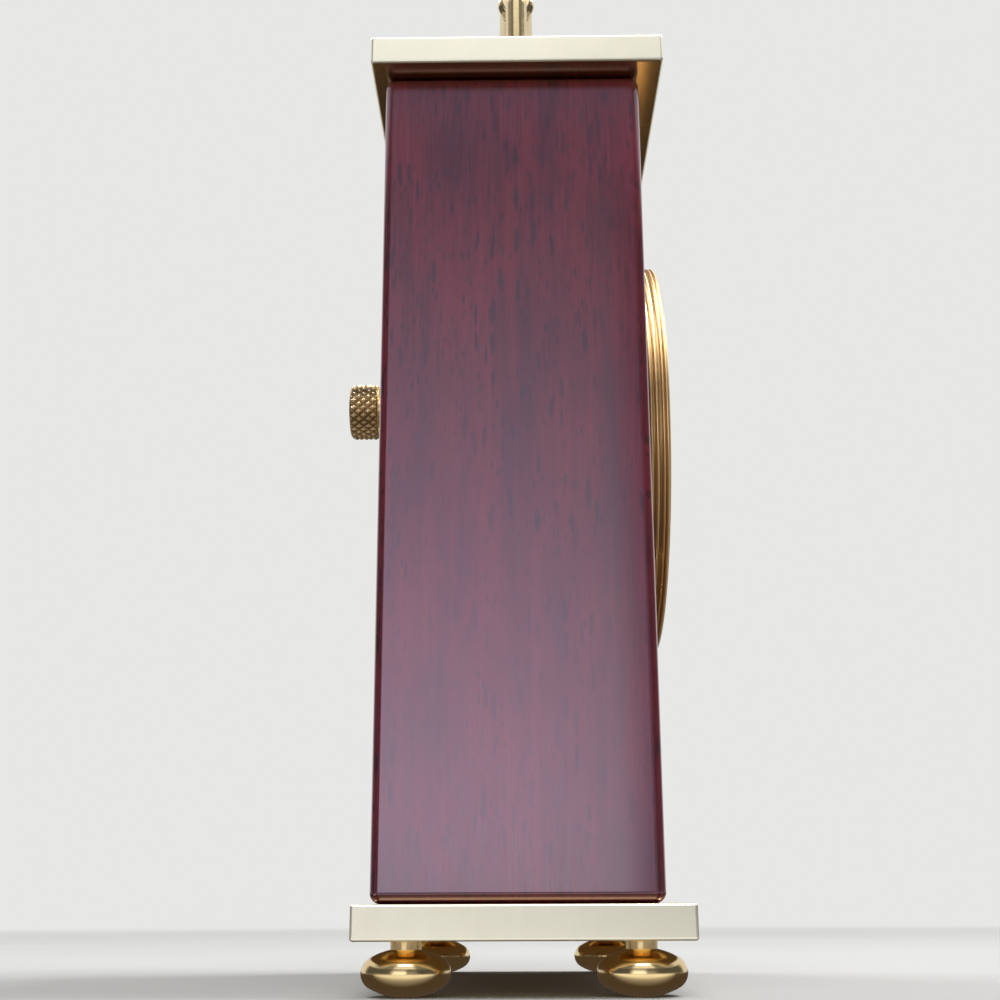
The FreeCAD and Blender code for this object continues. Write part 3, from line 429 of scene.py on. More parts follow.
class CLOCK_OT_lacquer_body(bpy.types.Operator):
    """Finishes the wooden body as red mahogany under a deep clear lacquer"""

    bl_idname = "clock.lacquer_body"
    bl_label = "Lacquer the body"

    # Cells per metre across, through and along the grain
    mottle_cells = (105.0, 105.0, 40.0)
    ribbon_cells = (330.0, 330.0, 14.0)
    fibre_cells = (2600.0, 2600.0, 110.0)
    crowd_cells = (60.0, 60.0, 22.0)
    # Cells per metre round the body and along the grain
    smudge_cells = (600.0, 110.0, 0.0)
    pore_cells = (1400.0, 300.0, 0.0)
    # Shares of the figure, and where on it the three tones lie
    mottle_share = 0.40
    ribbon_share = 0.35
    fibre_share = 0.25
    tone_shares = (0.41, 0.49, 0.58)
    # Chance that a cell has no dash
    no_smudge_share = 0.25
    no_pore_share = 0.5
    dash_sway = (1.2 * MM, 1.2 * MM, 0.0)
    dash_reach_share = 0.40
    dash_soft_share = 0.14
    dash_dark_share = 0.90

    def execute(self, context):
        look = tones()
        material, tree, shader = new_material("lacquered_mahogany")
        place = object_place(tree)
        mottle = noise(tree, place, detail=3.0, roughness=0.55, stretch=self.mottle_cells)
        ribbons = noise(tree, place, detail=4.0, roughness=0.60, stretch=self.ribbon_cells)
        fibres = noise(tree, place, detail=3.0, roughness=0.60, stretch=self.fibre_cells)
        figure = product(tree, mottle, self.mottle_share)
        figure = total(tree, figure, product(tree, ribbons, self.ribbon_share))
        figure = total(tree, figure, product(tree, fibres, self.fibre_share))
        colour = ramp(tree, figure, *zip(self.tone_shares, (look.wood_deep, look.wood_mid, look.wood_light)))
        smudges = self.dashes(tree, place, self.smudge_cells, self.no_smudge_share)
        pores = self.dashes(tree, place, self.pore_cells, self.no_pore_share)
        crowd = noise(tree, place, detail=2.0, roughness=0.5, stretch=self.crowd_cells)
        crowd = span(tree, crowd, 0.35, 0.65, to_start=0.45)
        dark = product(tree, reckon(tree, "MAXIMUM", smudges, pores), crowd)
        feed(tree, shader, Base_Color=mix_colour(tree, dark, colour, rgba(look.wood_pore)))
        feed(tree, shader, Roughness=span(tree, fibres, 0.3, 0.7, to_start=0.15, to_end=0.22))
        feed(tree, shader, IOR=2.0, Specular_Tint=rgba(look.wood_veil))
        feed(tree, shader, Coat_Weight=1.0, Coat_IOR=1.6, Coat_Roughness=0.02)
        dress(material, "case_body")
        return {"FINISHED"}

    def dashes(self, tree, place, cells, none_share):
        """Soft dark dashes along the grain: one in each stretched cell, longer or shorter by chance."""
        wavy = add_node(tree, "TexNoise", {"Vector": place, "Scale": 160.0, "Detail": 2.0}).outputs["Color"]
        sway = vector_sum(tree, "MULTIPLY", wavy, self.dash_sway)["Vector"]
        axes = axes_of(tree, vector_sum(tree, "ADD", place, sway)["Vector"])
        round_body = total(tree, axes["X"], axes["Y"])
        flat = add_node(tree, "CombineXYZ", {"X": round_body, "Y": axes["Z"]}).outputs["Vector"]
        stretched = add_node(tree, "Mapping", {"Vector": flat, "Scale": cells}).outputs["Vector"]
        inputs = {"Vector": stretched, "Scale": 1.0}
        spots = add_node(tree, "TexVoronoi", inputs, voronoi_dimensions="2D").outputs
        chance = add_node(tree, "SeparateColor", {"Color": spots["Color"]}).outputs["Red"]
        reach = span(tree, chance, none_share, 1.0, to_end=self.dash_reach_share)
        inside = reckon(tree, "SUBTRACT", reach, spots["Distance"])
        return span(tree, inside, 0.0, self.dash_soft_share, to_end=self.dash_dark_share)


class CLOCK_OT_polish_brass(bpy.types.Operator):
    """Finishes the plates, the handle and the bun feet in polished brass"""

    bl_idname = "clock.polish_brass"
    bl_label = "Polish plates, handle and feet"

    handle_gold_share = 0.85
    # Distances from a plate's face within which its own finish begins and is full
    face_begin = 0.10 * MM
    face_full = 0.02 * MM
    face_polish_share = 0.55
    # Share of painted shade on the broad face towards the wood
    face_painted_shade_share = 0.65

    def execute(self, context):
        look = tones()
        for name in ("top_plate", "bottom_plate"):
            dress(self.plate_finish(name, look), name)
        gold = mixed(look.plate_brass, look.bun_brass, self.handle_gold_share)
        handle = brass("handle_brass", gold, film=0.20, polish=0.08, haze=0.20)[0]
        bun = brass("bun_brass", look.bun_brass, film=0.10, polish=0.12, haze=0.24, patches=120.0)[0]
        dress(handle, "handle_grip")
        for side in ("left", "right"):
            dress(handle, "handle_arm_" + side, "handle_collar_" + side)
            dress(bun, "foot_front_" + side, "foot_back_" + side)
        return {"FINISHED"}

    def plate_finish(self, name, look):
        """Pale satin round the rim, smoother and golden on the broad faces; the face towards the wood is
        browned as painted shade.
        """
        material, tree, shader, made = brass(
            name + "_brass", look.plate_brass, film=0.05, polish=0.34, haze=0.40, patches=30.0, relief=0.02
        )
        low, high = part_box(name)
        level = axes_of(tree, object_place(tree))["Z"]
        half = (high.z - low.z) / 2
        off_middle = gap(tree, level, (low.z + high.z) / 2)
        broad = span(tree, off_middle, half - self.face_begin, half - self.face_full)
        colour = mix_colour(tree, broad, made["Color"], rgba(look.bun_brass))
        # Painted shade: the whole broad face towards the wood is browned, darkening it as shade would
        wood_side = low.z if low.z > BODY_LOW.z else high.z
        off_wood = gap(tree, level, wood_side)
        painted_shade_at_wood = span(tree, off_wood, self.face_full, self.face_begin, self.face_painted_shade_share, 0.0)
        darken(tree, shader, colour, painted_shade_at_wood)
        smooth = span(tree, broad, 0.0, 1.0, 1.0, self.face_polish_share)
        feed(tree, shader, Roughness=product(tree, made["Roughness"], smooth))
        return material


class CLOCK_OT_gild_bezel(bpy.types.Operator):
    """Finishes the reeded bezel in warm gilt, darker in its grooves, and the ring inside it"""

    bl_idname = "clock.gild_bezel"
    bl_label = "Gild the bezel"

    # Depths below the crests at which a groove's dark starts, is full and ends
    groove_start = 0.18 * MM
    groove_full = 0.52 * MM
    groove_floor = 0.55 * MM
    groove_end = 0.60 * MM
    groove_dark_share = 0.70
    face_width = 0.15 * MM

    def execute(self, context):
        look = tones()
        material, tree, shader, made = brass(
            "bezel_gilt", look.bezel_brass, film=0.06, polish=0.26, haze=0.38, patches=160.0
        )
        place = object_place(tree)
        radius = off_axis(tree, place, DIAL_MIDDLE)
        groove = span(
            tree, radius, BEZEL_RADIUS - self.groove_full, BEZEL_RADIUS - self.groove_start,
            self.groove_dark_share, 0.0,
        )
        behind_face = span(tree, axes_of(tree, place)["Y"], BEZEL_LOW.y, BEZEL_LOW.y + self.face_width)
        outside = span(tree, radius, BEZEL_RADIUS - self.groove_end, BEZEL_RADIUS - self.groove_floor)
        groove = product(tree, groove, product(tree, behind_face, outside))
        darken(tree, shader, made["Color"], groove)
        dress(material, "bezel")
        dress(brass("ring_gilt", look.bezel_brass, film=0.10, polish=0.18, haze=0.30)[0], "dial_ring")
        return {"FINISHED"}


def triangle_wave(value):
    """Zero at whole numbers and one half way between them."""
    return 1 - np.abs(2 * (value % 1.0) - 1)


class CLOCK_OT_knurl_knob(bpy.types.Operator):
    """Cuts the knob's head with two crossed sets of slanting grooves"""

    bl_idname = "clock.knurl_knob"
    bl_label = "Knurl the knob"

    knurl_step_count = 24
    knurl_slope_share = 0.80
    dish_depth = 0.35 * MM
    dish_rim_share = 0.72
    dish_floor_share = 0.62
    # Depths at which a groove's dark starts and, below the groove, ends
    groove_start = 0.15 * MM
    groove_floor = 0.05 * MM
    groove_end = 0.10 * MM
    groove_dark_share = 0.9

    def execute(self, context):
        size = sizes()
        points = self.knob_grid(size)
        mesh = new_mesh("knurled_knob", points, sheet_faces(*points.shape[:2], False, True), KNURL_CREASE)
        add_piece(mesh, "setting_knob", "golden_brass", self.knob_finish(size), "set_knob")
        return {"FINISHED"}

    def knob_grid(self, size):
        """Rings along the axis from the collar's front to the head's end.

        On the head the radius is the knob's radius less the groove depth; two triangle waves that run
        along the two slants give each point's share of the depth, and the smaller one counts. Past the
        chamfers the radius is held under a line that falls towards the ends at forty-five degrees.
        """
        steps_around = self.knurl_step_count * size.knurl_around
        steps_along = self.knurl_step_count * size.knurl_along
        angle = np.linspace(0, TURN, steps_around, endpoint=False)[None, :]
        along = np.linspace(0, 1, steps_along + 1)[:, None]
        turns = angle / TURN * size.knurl_around
        rise = along * size.knurl_along
        crest = np.minimum(triangle_wave(turns + rise), triangle_wave(turns - rise))
        crest = np.minimum(crest / self.knurl_slope_share, 1.0)
        flat = KNOB_RADIUS - size.knob_chamfer
        limit = flat + np.minimum(along, 1 - along) * size.knob_head
        radius = np.minimum(KNOB_RADIUS - size.knurl_depth * (1 - crest), limit)
        head_front = KNOB_HIGH.y - size.knob_head
        level = np.broadcast_to(head_front + along * size.knob_head, radius.shape)
        collar = size.knob_collar / 2
        dish = KNOB_HIGH.y - self.dish_depth
        front = [(0.0, KNOB_LOW.y), (collar, KNOB_LOW.y), (collar, head_front)]
        front.append((flat - size.knurl_depth, head_front))
        end = [(flat * self.dish_rim_share, KNOB_HIGH.y), (flat * self.dish_floor_share, dish), (0.0, dish)]
        radii = np.vstack([self.even_rings(front, 0, angle), radius, self.even_rings(end, 0, angle)])
        depth = np.vstack([self.even_rings(front, 1, angle), level, self.even_rings(end, 1, angle)])
        across = KNOB_MIDDLE.x + radii * np.cos(angle)
        up = KNOB_MIDDLE.z + radii * np.sin(angle)
        return np.stack([across, depth, up], axis=-1)

    def even_rings(self, profile, column, angle):
        """One column of a profile of radius and depth, repeated all round."""
        return np.repeat(np.array(profile)[:, [column]], angle.size, axis=1)

    def knob_finish(self, size):
        """Olive brass, dark where the grooves hold old polish."""
        material, tree, shader, made = brass(
            "knob_brass", tones().knob_brass, film=0.14, polish=0.20, haze=0.40, patches=220.0
        )
        radius = off_axis(tree, object_place(tree), KNOB_MIDDLE)
        low = KNOB_RADIUS - size.knurl_depth
        groove = span(tree, radius, low, KNOB_RADIUS - self.groove_start, self.groove_dark_share, 0.0)
        on_head = span(tree, radius, low - self.groove_end, low - self.groove_floor)
        groove = product(tree, groove, on_head)
        darken(tree, shader, made["Color"], groove)
        return material


NUMERALS = ("XII", "I", "II", "III", "IIII", "V", "VI", "VII", "VIII", "IX", "X", "XI")
MINUTE_COUNT = 60


class CLOCK_OT_print_dial(bpy.types.Operator):
    """Paints the dial cream and prints the numerals and the minute track on it"""

    bl_idname = "clock.print_dial"
    bl_label = "Print the dial"

    paint_grain = 0.01 * MM
    ink_grain = 0.005 * MM
    ink_shade = (0.05, 0.05, 0.05)
    # Widths as shares of a letter's height, of its thick stroke and of its hairline
    wide_letter_share = 0.62
    thin_letter_share = 1.9
    vee_stem_share = 0.6
    vee_hair_share = 0.2
    # Strokes lie in a few layers, so that none share a plane
    layer_count = 5
    layer_drop_share = 0.3
    circle_height_share = 1.1
    circle_step_count = 240

    def execute(self, context):
        size = sizes()
        look = tones()
        paint, tree, shader = moulded(
            "dial_paint", look.dial_cream, look.dial_shade, gloss=0.42, grain=1500.0, depth=self.paint_grain
        )
        feed(tree, shader, Coat_Weight=0.25, Coat_Roughness=0.2)
        dress(paint, "dial")
        faded = mixed(look.ink, self.ink_shade)
        ink = moulded("dial_ink", look.ink, faded, gloss=0.38, grain=2500.0, depth=self.ink_grain)[0]
        numerals = np.concatenate([self.numeral(size, hour, text) for hour, text in enumerate(NUMERALS)])
        minutes = np.arange(MINUTE_COUNT)
        hours = minutes % (MINUTE_COUNT // len(NUMERALS)) == 0
        thin = self.ticks(size, minutes[~hours], size.track_line)
        thick = self.ticks(size, minutes[hours], size.hour_stroke)
        for mesh in (
            self.printed(size, "dial_numerals", numerals),
            self.printed(size, "minute_strokes", np.concatenate([thin, thick])),
            self.circle(size, "track_outer_circle", size.track_outer),
            self.circle(size, "track_inner_circle", size.track_inner),
        ):
            add_piece(mesh, "case", "hand_black", ink)
        return {"FINISHED"}

    def glyph(self, size, letter):
        """Strokes of one letter as four corners each, and the letter's width; the foot stands at zero."""
        high = size.numeral_height
        stem = size.numeral_stem
        hair = size.numeral_hair
        width = self.wide_letter_share * high
        if letter == "I":
            width = self.thin_letter_share * stem
            edge = (width - stem) / 2
            strokes = [self.slant(edge, edge, stem, high)]
        elif letter == "V":
            middle = width / 2
            strokes = [self.slant(middle - stem * self.vee_stem_share, hair, stem, high)]
            strokes.append(self.slant(middle - hair * self.vee_hair_share, width - 2 * hair, hair, high))
        else:
            strokes = [self.slant(width - stem - hair, hair, stem, high)]
            strokes.append(self.slant(hair, width - 2 * hair, hair, high))
        strokes.append(self.bar(0, width, 0, hair))
        strokes.append(self.bar(0, width, high - hair, high))
        return np.array(strokes), width

    def slant(self, foot, head, width, high):
        return [(foot, 0), (foot + width, 0), (head + width, high), (head, high)]

    def bar(self, left, right, low, high):
        return [(left, low), (right, low), (right, high), (left, high)]

    def numeral(self, size, hour, text):
        """Letters side by side, centred, with their feet towards the dial's middle, turned to the hour."""
        strokes = []
        start = 0.0
        for letter in text:
            corners, width = self.glyph(size, letter)
            strokes.append(corners + (start, 0))
            start += width
        flat = np.concatenate(strokes)
        flat = flat - (start / 2, size.numeral_height / 2) + (0, size.numeral_radius)
        return self.turned(flat, hour / len(NUMERALS) * TURN)

    def turned(self, flat, angle):
        """Corners turned clockwise about the dial's middle; across is sideways and out is away from it."""
        across, out = flat[..., 0], flat[..., 1]
        x = across * np.cos(angle) + out * np.sin(angle)
        z = out * np.cos(angle) - across * np.sin(angle)
        return np.stack([x, z], axis=-1)

    def ticks(self, size, minutes, width):
        """Short radial strokes between the two circles of the track."""
        bar = np.array([self.bar(-width / 2, width / 2, size.track_inner, size.track_outer)])
        flat = np.repeat(bar, len(minutes), axis=0)
        return self.turned(flat, (minutes / MINUTE_COUNT * TURN)[:, None])

    def printed(self, size, name, corners):
        """Low prisms of ink on the dial; each next stroke is a hair lower, layer by layer."""
        count = len(corners)
        layer = np.arange(count) % self.layer_count
        height = size.print_height * (1 - self.layer_drop_share * layer / self.layer_count)
        top = DIAL_LOW.y - np.repeat(height[:, None], 4, axis=1)
        foot = np.full_like(top, DIAL_LOW.y)
        x = DIAL_MIDDLE.x + corners[..., 0]
        z = DIAL_MIDDLE.z + corners[..., 1]
        points = np.stack([np.stack([x, foot, z], axis=-1), np.stack([x, top, z], axis=-1)], axis=1)
        sides = np.array([(0, 1, 5, 4), (1, 2, 6, 5), (2, 3, 7, 6), (3, 0, 4, 7), (4, 5, 6, 7), (3, 2, 1, 0)])
        faces = (np.arange(count)[:, None, None] * 8 + sides).reshape(-1, 4)
        return new_mesh(name, points, faces)

    def circle(self, size, name, middle):
        """Ring of ink: a flat four-cornered section carried round the dial's axis."""
        half = size.track_line / 2
        angle = np.linspace(0, TURN, self.circle_step_count, endpoint=False)[:, None]
        radius = np.array([middle - half, middle + half, middle + half, middle - half])[None, :]
        top = DIAL_LOW.y - size.print_height * self.circle_height_share
        level = np.array([DIAL_LOW.y, DIAL_LOW.y, top, top])[None, :]
        x = DIAL_MIDDLE.x + radius * np.cos(angle)
        z = DIAL_MIDDLE.z + radius * np.sin(angle)
        grid = np.stack([x, np.broadcast_to(level, x.shape), z], axis=-1)
        return new_mesh(name, grid, sheet_faces(*grid.shape[:2], True, True), PLAIN_CREASE)


class CLOCK_OT_finish_hands(bpy.types.Operator):
    """Gives the hands a gloss black enamel"""

    bl_idname = "clock.finish_hands"
    bl_label = "Enamel the hands"

    enamel_grain = 0.01 * MM
    enamel_shade = (0.04, 0.04, 0.045)

    def execute(self, context):
        ink = tones().ink
        shade = mixed(ink, self.enamel_shade)
        enamel, tree, shader = moulded(
            "hand_enamel", ink, shade, gloss=0.22, grain=900.0, depth=self.enamel_grain
        )
        feed(tree, shader, Coat_Weight=0.6, Coat_Roughness=0.08)
        dress(enamel, "hour_hand", "minute_hand", "second_hand")
        return {"FINISHED"}


class CLOCK_OT_glaze_crystal(bpy.types.Operator):
    """Makes the domed glass clear and its gasket black"""

    bl_idname = "clock.glaze_crystal"
    bl_label = "Glaze the crystal"

    glass_tint = (0.99, 1.0, 0.995)
    rubber = (0.02, 0.02, 0.02)
    rubber_shade = (0.035, 0.035, 0.035)
    rubber_grain = 0.02 * MM

    def execute(self, context):
        material, tree, shader = new_material("crystal_glass")
        smears = noise(tree, object_place(tree), detail=4.0, roughness=0.6, scale=70.0)
        feed(tree, shader, Roughness=span(tree, smears, 0.5, 0.8, to_end=0.03))
        feed(tree, shader, Base_Color=rgba(self.glass_tint), IOR=1.46, Transmission_Weight=1.0)
        dress(material, "crystal")
        NODES["crystal"].visible_shadow = False
        gasket = moulded(
            "gasket_rubber", self.rubber, self.rubber_shade, gloss=0.75, grain=1200.0, depth=self.rubber_grain
        )[0]
        dress(gasket, "crystal_gasket")
        return {"FINISHED"}


class CLOCK_OT_finish_back(bpy.types.Operator):
    """Spins the rear cover, and finishes the screws, the bush and the stem"""

    bl_idname = "clock.finish_back"
    bl_label = "Finish the back"

    spun_depth = 0.08 * MM
    ground_steel = (0.58, 0.58, 0.57)

    def execute(self, context):
        look = tones()
        material, tree, shader, made = brass(
            "spun_cover", look.cover_brass, film=0.06, polish=0.22, haze=0.34
        )
        radius = off_axis(tree, object_place(tree), DIAL_MIDDLE)
        inputs = {"W": radius, "Scale": 1800.0, "Detail": 3.0}
        lines = add_node(tree, "TexNoise", inputs, noise_dimensions="1D").outputs["Fac"]
        shade = span(tree, lines, 0.35, 0.65, to_end=0.18)
        darken(tree, shader, made["Color"], shade)
        feed(tree, shader, Normal=bump(tree, lines, self.spun_depth, strength=0.8))
        dress(material, "rear_cover")
        plain = brass("turned_brass", look.plain_brass, film=0.25, polish=0.18, haze=0.36, patches=150.0)[0]
        dress(plain, "base_screws", "sleeve_screws", "rear_cover_screws", "handle_inserts", "dial_sleeve")
        dress(plain, "stem_bush", "centre_bush", "bush_washer", "bush_nut", "cannon_pinion")
        dress(brass("ground_steel", self.ground_steel, film=0.06, polish=0.16, haze=0.30)[0], "set_stem")
        return {"FINISHED"}


class CLOCK_OT_finish_movement(bpy.types.Operator):
    """Finishes the pieces of the movement behind the dial"""

    bl_idname = "clock.finish_movement"
    bl_label = "Finish the movement"

    # Finish: tone, film amount, polish, haze, pieces
    metals = {
        "stamped_iron": ((0.46, 0.46, 0.48), 0.10, 0.22, 0.40, ("stator", "coil_core")),
        "sintered_magnet": ((0.16, 0.16, 0.17), 0.10, 0.40, 0.60, ("rotor_magnet",)),
        "bright_plate": (
            (0.76, 0.76, 0.77), 0.05, 0.10, 0.22,
            ("quartz_can", "battery_contact_positive", "battery_contact_negative"),
        ),
    }
    # Finish: tone, shade, gloss, grains per metre, grain depth, pieces
    plastics = {
        "housing_plastic": (
            (0.030, 0.030, 0.033), (0.045, 0.045, 0.048), 0.48, 1800.0, 0.03 * MM,
            ("movement_base", "movement_cover", "train_bridge"),
        ),
        "wheel_plastic": (
            (0.78, 0.77, 0.71), (0.68, 0.66, 0.58), 0.40, 1400.0, 0.01 * MM,
            ("minute_wheel", "hour_wheel", "centre_wheel", "third_wheel", "seconds_wheel",
             "intermediate_wheel", "rotor_pinion"),
        ),
        "board_mask": ((0.012, 0.16, 0.06), (0.008, 0.11, 0.045), 0.30, 700.0, 0.01 * MM, ("circuit_board",)),
        "cell_sleeve": ((0.05, 0.06, 0.09), (0.035, 0.04, 0.06), 0.26, 500.0, 0.005 * MM, ("battery_cell",)),
    }
    copper = (0.72, 0.32, 0.14)
    wire_pitch = 0.25 * MM
    wire_depth = 0.05 * MM

    def execute(self, context):
        for name, (*finish, pieces) in self.metals.items():
            dress(brass(name, *finish)[0], *pieces)
        for name, (*finish, pieces) in self.plastics.items():
            dress(moulded(name, *finish)[0], *pieces)
        self.wind_coil()
        return {"FINISHED"}

    def wind_coil(self):
        """Copper wire whose turns show as fine ridges along the coil's length."""
        material, tree, shader, made = brass("coil_wire", self.copper, film=0.15, polish=0.22, haze=0.36)
        along = axes_of(tree, object_place(tree))["Z"]
        turns = reckon(tree, "SINE", product(tree, along, TURN / self.wire_pitch))
        feed(tree, shader, Normal=bump(tree, turns, self.wire_depth, strength=0.6))
        dress(material, "coil")


class CLOCK_OT_set_stage(bpy.types.Operator):
    """Lays the pale floor, lights the clock softly and sets the camera"""

    bl_idname = "clock.set_stage"
    bl_label = "Set the stage"

    floor_ring_count = 24
    floor_spoke_count = 96
    fade_end_share = 0.6
    # Mirrored floor: places of its tones to the left, and limits of its reach and depth
    strip_stops = (0.060, 0.068)
    ground_stops = (0.08, 0.14, 0.55, 0.70)
    strip_reach = (0.06, 0.09)
    strip_half_depth = (0.10, 0.16)

    # Mirrored room on the left: sine of the height and tone there
    room_stops = (
        (0.0, (0.96, 0.97, 1.0)), (0.28, (0.47, 0.47, 0.50)), (0.50, (0.12, 0.12, 0.13)),
        (0.548, (0.10, 0.10, 0.11)), (0.565, (0.58, 0.58, 0.56)), (0.62, (0.58, 0.58, 0.56)),
        (0.66, (0.40, 0.40, 0.39)), (0.84, (0.40, 0.40, 0.39)), (0.90, (0.12, 0.12, 0.13)),
    )
    room_strength = 1.90
    matt_strength = 0.45
    # Runs to the left and to the front at which the bright side starts and is full
    left_shares = (-0.82, -0.90)
    front_shares = (-0.092, -0.070)
    front_dim_share = 0.16
    least_run = 0.01
    # Sines of height at which the handle's band rises and falls and the low band ends
    handle_rise = (0.548, 0.56)
    handle_fall = (0.62, 0.66)
    low_end = (0.46, 0.53)
    # Dark gap beside the bright side: its ends, softness and tones, and the tone beyond
    gap_end_share = -0.62
    gap_end_handle_share = 0.10
    gap_end_low_share = 0.40
    gap_soft_share = 0.18
    gap_tone = 0.10
    gap_low_tone = 0.045
    beyond_tone = 0.38

    # Soft boxes: name, place and watts
    soft_boxes = (
        ("side_box", (-0.55, 0.0, 1.20), 5.0),
        ("front_box", (0.10, -0.68, 1.25), 18.0),
        ("back_box", (0.35, 0.62, 1.25), 9.0),
    )
    soft_box_width = 0.6
    soft_box_aim = (0.0, 0.0, 0.12)
    # Sensor in millimetres, as the lens is
    sensor_width = 36.0
    near_limit = 10 * MM

    def execute(self, context):
        context.scene.view_settings.view_transform = "Standard"
        self.lay_floor()
        self.light_world()
        for name, place, power in self.soft_boxes:
            self.soft_box(name, place, power)
        self.set_camera()
        return {"FINISHED"}

    def lay_floor(self):
        """Round floor: rings whose radius grows with the square of their number."""
        rings, spokes = self.floor_ring_count, self.floor_spoke_count
        radius = np.linspace(0, 1, rings)[:, None] ** 2 * sizes().floor_radius
        angle = np.linspace(0, TURN, spokes, endpoint=False)[None, :]
        grid = np.stack([radius * np.cos(angle), radius * np.sin(angle), np.zeros((rings, spokes))], axis=-1)
        mesh = new_mesh("studio_floor", grid, sheet_faces(rings, spokes, False, True), PLAIN_CREASE)
        if mesh.polygons[0].normal.z < 0:
            mesh.flip_normals()
        mesh.materials.append(self.floor_finish())
        new_object("studio_floor", mesh)

    def floor_finish(self):
        """Matt floor that melts into the backdrop, clear from below; polished pieces see other tones."""
        size = sizes()
        look = tones()
        material = bpy.data.materials.new("studio_floor")
        tree = blank_tree(material)
        place = object_place(tree)
        path = add_node(tree, "LightPath").outputs
        clouds = span(tree, noise(tree, place, detail=4.0, roughness=0.6, scale=6.0), 0.3, 0.7, to_end=0.06)
        colour = mix_colour(tree, clouds, rgba(look.floor), rgba(look.backdrop))
        matt = add_node(tree, "BsdfDiffuse", {"Color": colour}).outputs["BSDF"]
        far = self.glow(tree, "Emission", rgba(look.backdrop), 1.0)
        away = vector_sum(tree, "LENGTH", place)["Value"]
        fade_end = self.fade_end_share * size.floor_radius
        inputs = {"Value": away, "From Min": size.floor_fade, "From Max": fade_end}
        fade = add_node(tree, "MapRange", inputs, interpolation_type="SMOOTHSTEP").outputs["Result"]
        mirrored = self.glow(tree, "Emission", self.mirrored_floor(tree, place, path), 1.0)
        seen = mix_shader(tree, path["Is Glossy Ray"], mix_shader(tree, fade, matt, far), mirrored)
        below = add_node(tree, "NewGeometry").outputs["Backfacing"]
        clear = add_node(tree, "BsdfTransparent").outputs["BSDF"]
        add_node(tree, "OutputMaterial", {"Surface": mix_shader(tree, below, seen, clear)})
        return material

    def mirrored_floor(self, tree, place, path):
        """Painted reflection of the floor in polished pieces: dark below and past the clock as painted shade,
        and a pale strip close beside it as painted highlight.
        """
        look = tones()
        axes = axes_of(tree, place)
        leftwards = span(tree, axes["X"], 0.0, -1.0)
        strip = ramp(tree, leftwards, *zip(self.strip_stops, (look.mirrored_floor, look.mirrored_strip)))
        dusk = mixed(look.mirrored_floor, look.mirrored_far)
        ground = ramp(
            tree, leftwards, *zip(self.ground_stops, (look.mirrored_floor, dusk, dusk, look.backdrop))
        )
        strip = mix_colour(tree, span(tree, path["Ray Length"], *self.strip_reach), strip, ground)
        beside = span(tree, reckon(tree, "ABSOLUTE", axes["Y"]), *self.strip_half_depth, 1.0, 0.0)
        return mix_colour(tree, beside, rgba(look.mirrored_far), strip)

    def light_world(self):
        """Backdrop for the eye and even light on matt surfaces; polished ones see the mirrored room."""
        world = bpy.data.worlds.new("studio")
        bpy.context.scene.world = world
        tree = blank_tree(world)
        path = add_node(tree, "LightPath").outputs
        shiny = reckon(tree, "MAXIMUM", path["Is Glossy Ray"], path["Is Transmission Ray"])
        shiny = product(tree, shiny, reckon(tree, "LESS_THAN", path["Diffuse Depth"], 0.5))
        lit = self.glow(tree, "Background", rgba((1.0, 1.0, 1.0)), self.matt_strength)
        mirrored = self.glow(tree, "Background", self.mirrored_room(tree), self.room_strength)
        seen = self.glow(tree, "Background", rgba(tones().backdrop), 1.0)
        light = mix_shader(tree, shiny, lit, mirrored)
        add_node(tree, "OutputWorld", {"Surface": mix_shader(tree, path["Is Camera Ray"], light, seen)})

    def glow(self, tree, kind, colour, strength):
        """Light given off by a surface, kind Emission, or by the world, kind Background."""
        return add_node(tree, kind, {"Color": colour, "Strength": strength}).outputs[kind]

    def mirrored_room(self, tree):
        """Room as polished pieces show it: one bright side on the left, a dark gap beside it, dim beyond."""
        way = axes_of(tree, add_node(tree, "TexCoord").outputs["Generated"])
        high = way["Z"]
        flat_run = reckon(tree, "SQRT", reckon(tree, "SUBTRACT", 1.0, reckon(tree, "POWER", high, 2.0)))
        leftward = reckon(tree, "DIVIDE", way["X"], reckon(tree, "MAXIMUM", flat_run, self.least_run))
        side_run = reckon(tree, "MAXIMUM", reckon(tree, "ABSOLUTE", way["X"]), self.least_run)
        forward = reckon(tree, "DIVIDE", way["Y"], side_run)
        above = span(tree, high, *self.handle_rise)
        behind_front = span(tree, forward, *self.front_shares, to_start=self.front_dim_share)
        not_front = reckon(tree, "MAXIMUM", behind_front, above)
        bright = product(tree, span(tree, leftward, *self.left_shares), not_front)
        handle_band = product(tree, above, span(tree, high, *self.handle_fall, 1.0, 0.0))
        low_band = span(tree, high, *self.low_end, 1.0, 0.0)
        gap_end = span(tree, handle_band, 0.0, 1.0, self.gap_end_share, self.gap_end_handle_share)
        gap_end = span(tree, low_band, 0.0, 1.0, gap_end, self.gap_end_low_share)
        gap_tone = span(tree, low_band, 0.0, 1.0, self.gap_tone, self.gap_low_tone)
        gap_done = total(tree, gap_end, self.gap_soft_share)
        around = span(tree, leftward, gap_end, gap_done, gap_tone, self.beyond_tone)
        return mix_colour(tree, bright, around, ramp(tree, high, *self.room_stops))

    def soft_box(self, name, place, power):
        """Square area light that looks at the clock."""
        lamp = bpy.data.lights.new(name, "AREA")
        lamp.size = self.soft_box_width
        lamp.energy = power
        holder = new_object(name, lamp)
        holder.location = place
        towards = Vector(self.soft_box_aim) - Vector(place)
        holder.rotation_euler = towards.to_track_quat("-Z", "Y").to_euler()
        holder.visible_camera = False

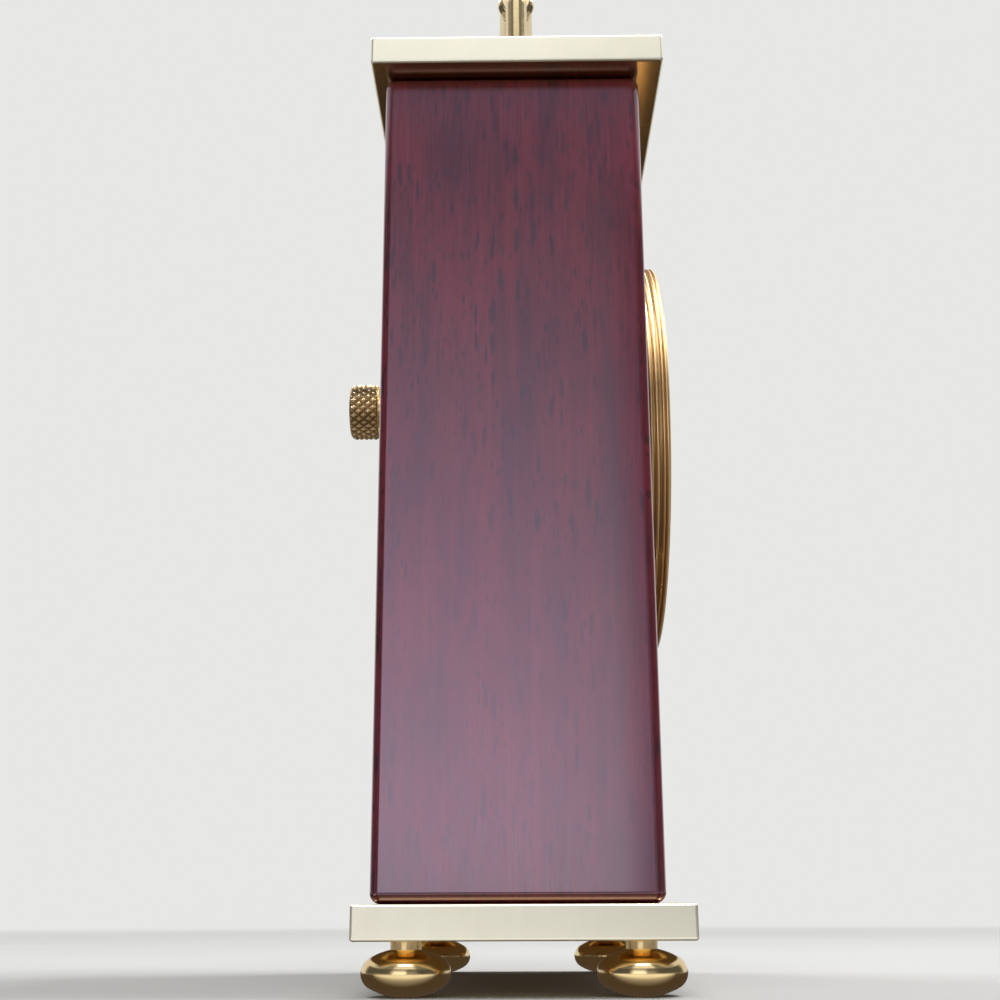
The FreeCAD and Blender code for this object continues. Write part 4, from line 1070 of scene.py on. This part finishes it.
    def set_camera(self):
        """Camera low beside the left flank, looking slightly up, as the photograph was taken."""
        size = sizes()
        bearing, lift, roll = size.camera_bearing, size.camera_lift, size.camera_roll
        level = math.cos(lift)
        forward = Vector((level * math.cos(bearing), level * math.sin(bearing), math.sin(lift)))
        right = forward.cross(Vector((0, 0, 1))).normalized()
        up = right.cross(forward)
        tilted_right = right * math.cos(roll) + up * math.sin(roll)
        tilted_up = up * math.cos(roll) - right * math.sin(roll)
        data = bpy.data.cameras.new("photograph")
        data.lens = size.lens
        data.sensor_width = self.sensor_width
        data.clip_start = self.near_limit
        camera = new_object("photograph", data)
        turn = Matrix((tilted_right, tilted_up, -forward)).transposed().to_4x4()
        place = Vector((-size.camera_distance, BODY_MIDDLE.y, size.camera_height))
        camera.matrix_world = Matrix.Translation(place) @ turn
        bpy.context.scene.camera = camera


class CLOCK_PT_panel(bpy.types.Panel):
    """Lists the steps that finish the clock"""

    bl_idname = "CLOCK_PT_panel"
    bl_label = "Desk clock"
    bl_space_type = "VIEW_3D"
    bl_region_type = "UI"
    bl_category = "Clock"

    def draw(self, context):
        for step in STEPS:
            self.layout.operator(step.bl_idname)
        for group in (context.scene.clock_sizes, context.scene.clock_tones):
            for key in group.__annotations__:
                self.layout.prop(group, key)


STEPS = (
    CLOCK_OT_lacquer_body,
    CLOCK_OT_polish_brass,
    CLOCK_OT_gild_bezel,
    CLOCK_OT_knurl_knob,
    CLOCK_OT_print_dial,
    CLOCK_OT_finish_hands,
    CLOCK_OT_glaze_crystal,
    CLOCK_OT_finish_back,
    CLOCK_OT_finish_movement,
    CLOCK_OT_set_stage,
)
CLASSES = (ClockSizes, ClockTones) + STEPS + (CLOCK_PT_panel,)


def register():
    for kind in CLASSES:
        bpy.utils.register_class(kind)
    bpy.types.Scene.clock_sizes = PointerProperty(type=ClockSizes)
    bpy.types.Scene.clock_tones = PointerProperty(type=ClockTones)


def unregister():
    del bpy.types.Scene.clock_tones
    del bpy.types.Scene.clock_sizes
    for kind in reversed(CLASSES):
        bpy.utils.unregister_class(kind)


def main():
    register()
    make_handled_metal()
    make_moulded()
    for step in STEPS:
        area, name = step.bl_idname.split(".")
        getattr(getattr(bpy.ops, area), name)()


if __name__ == "__main__":
    main()
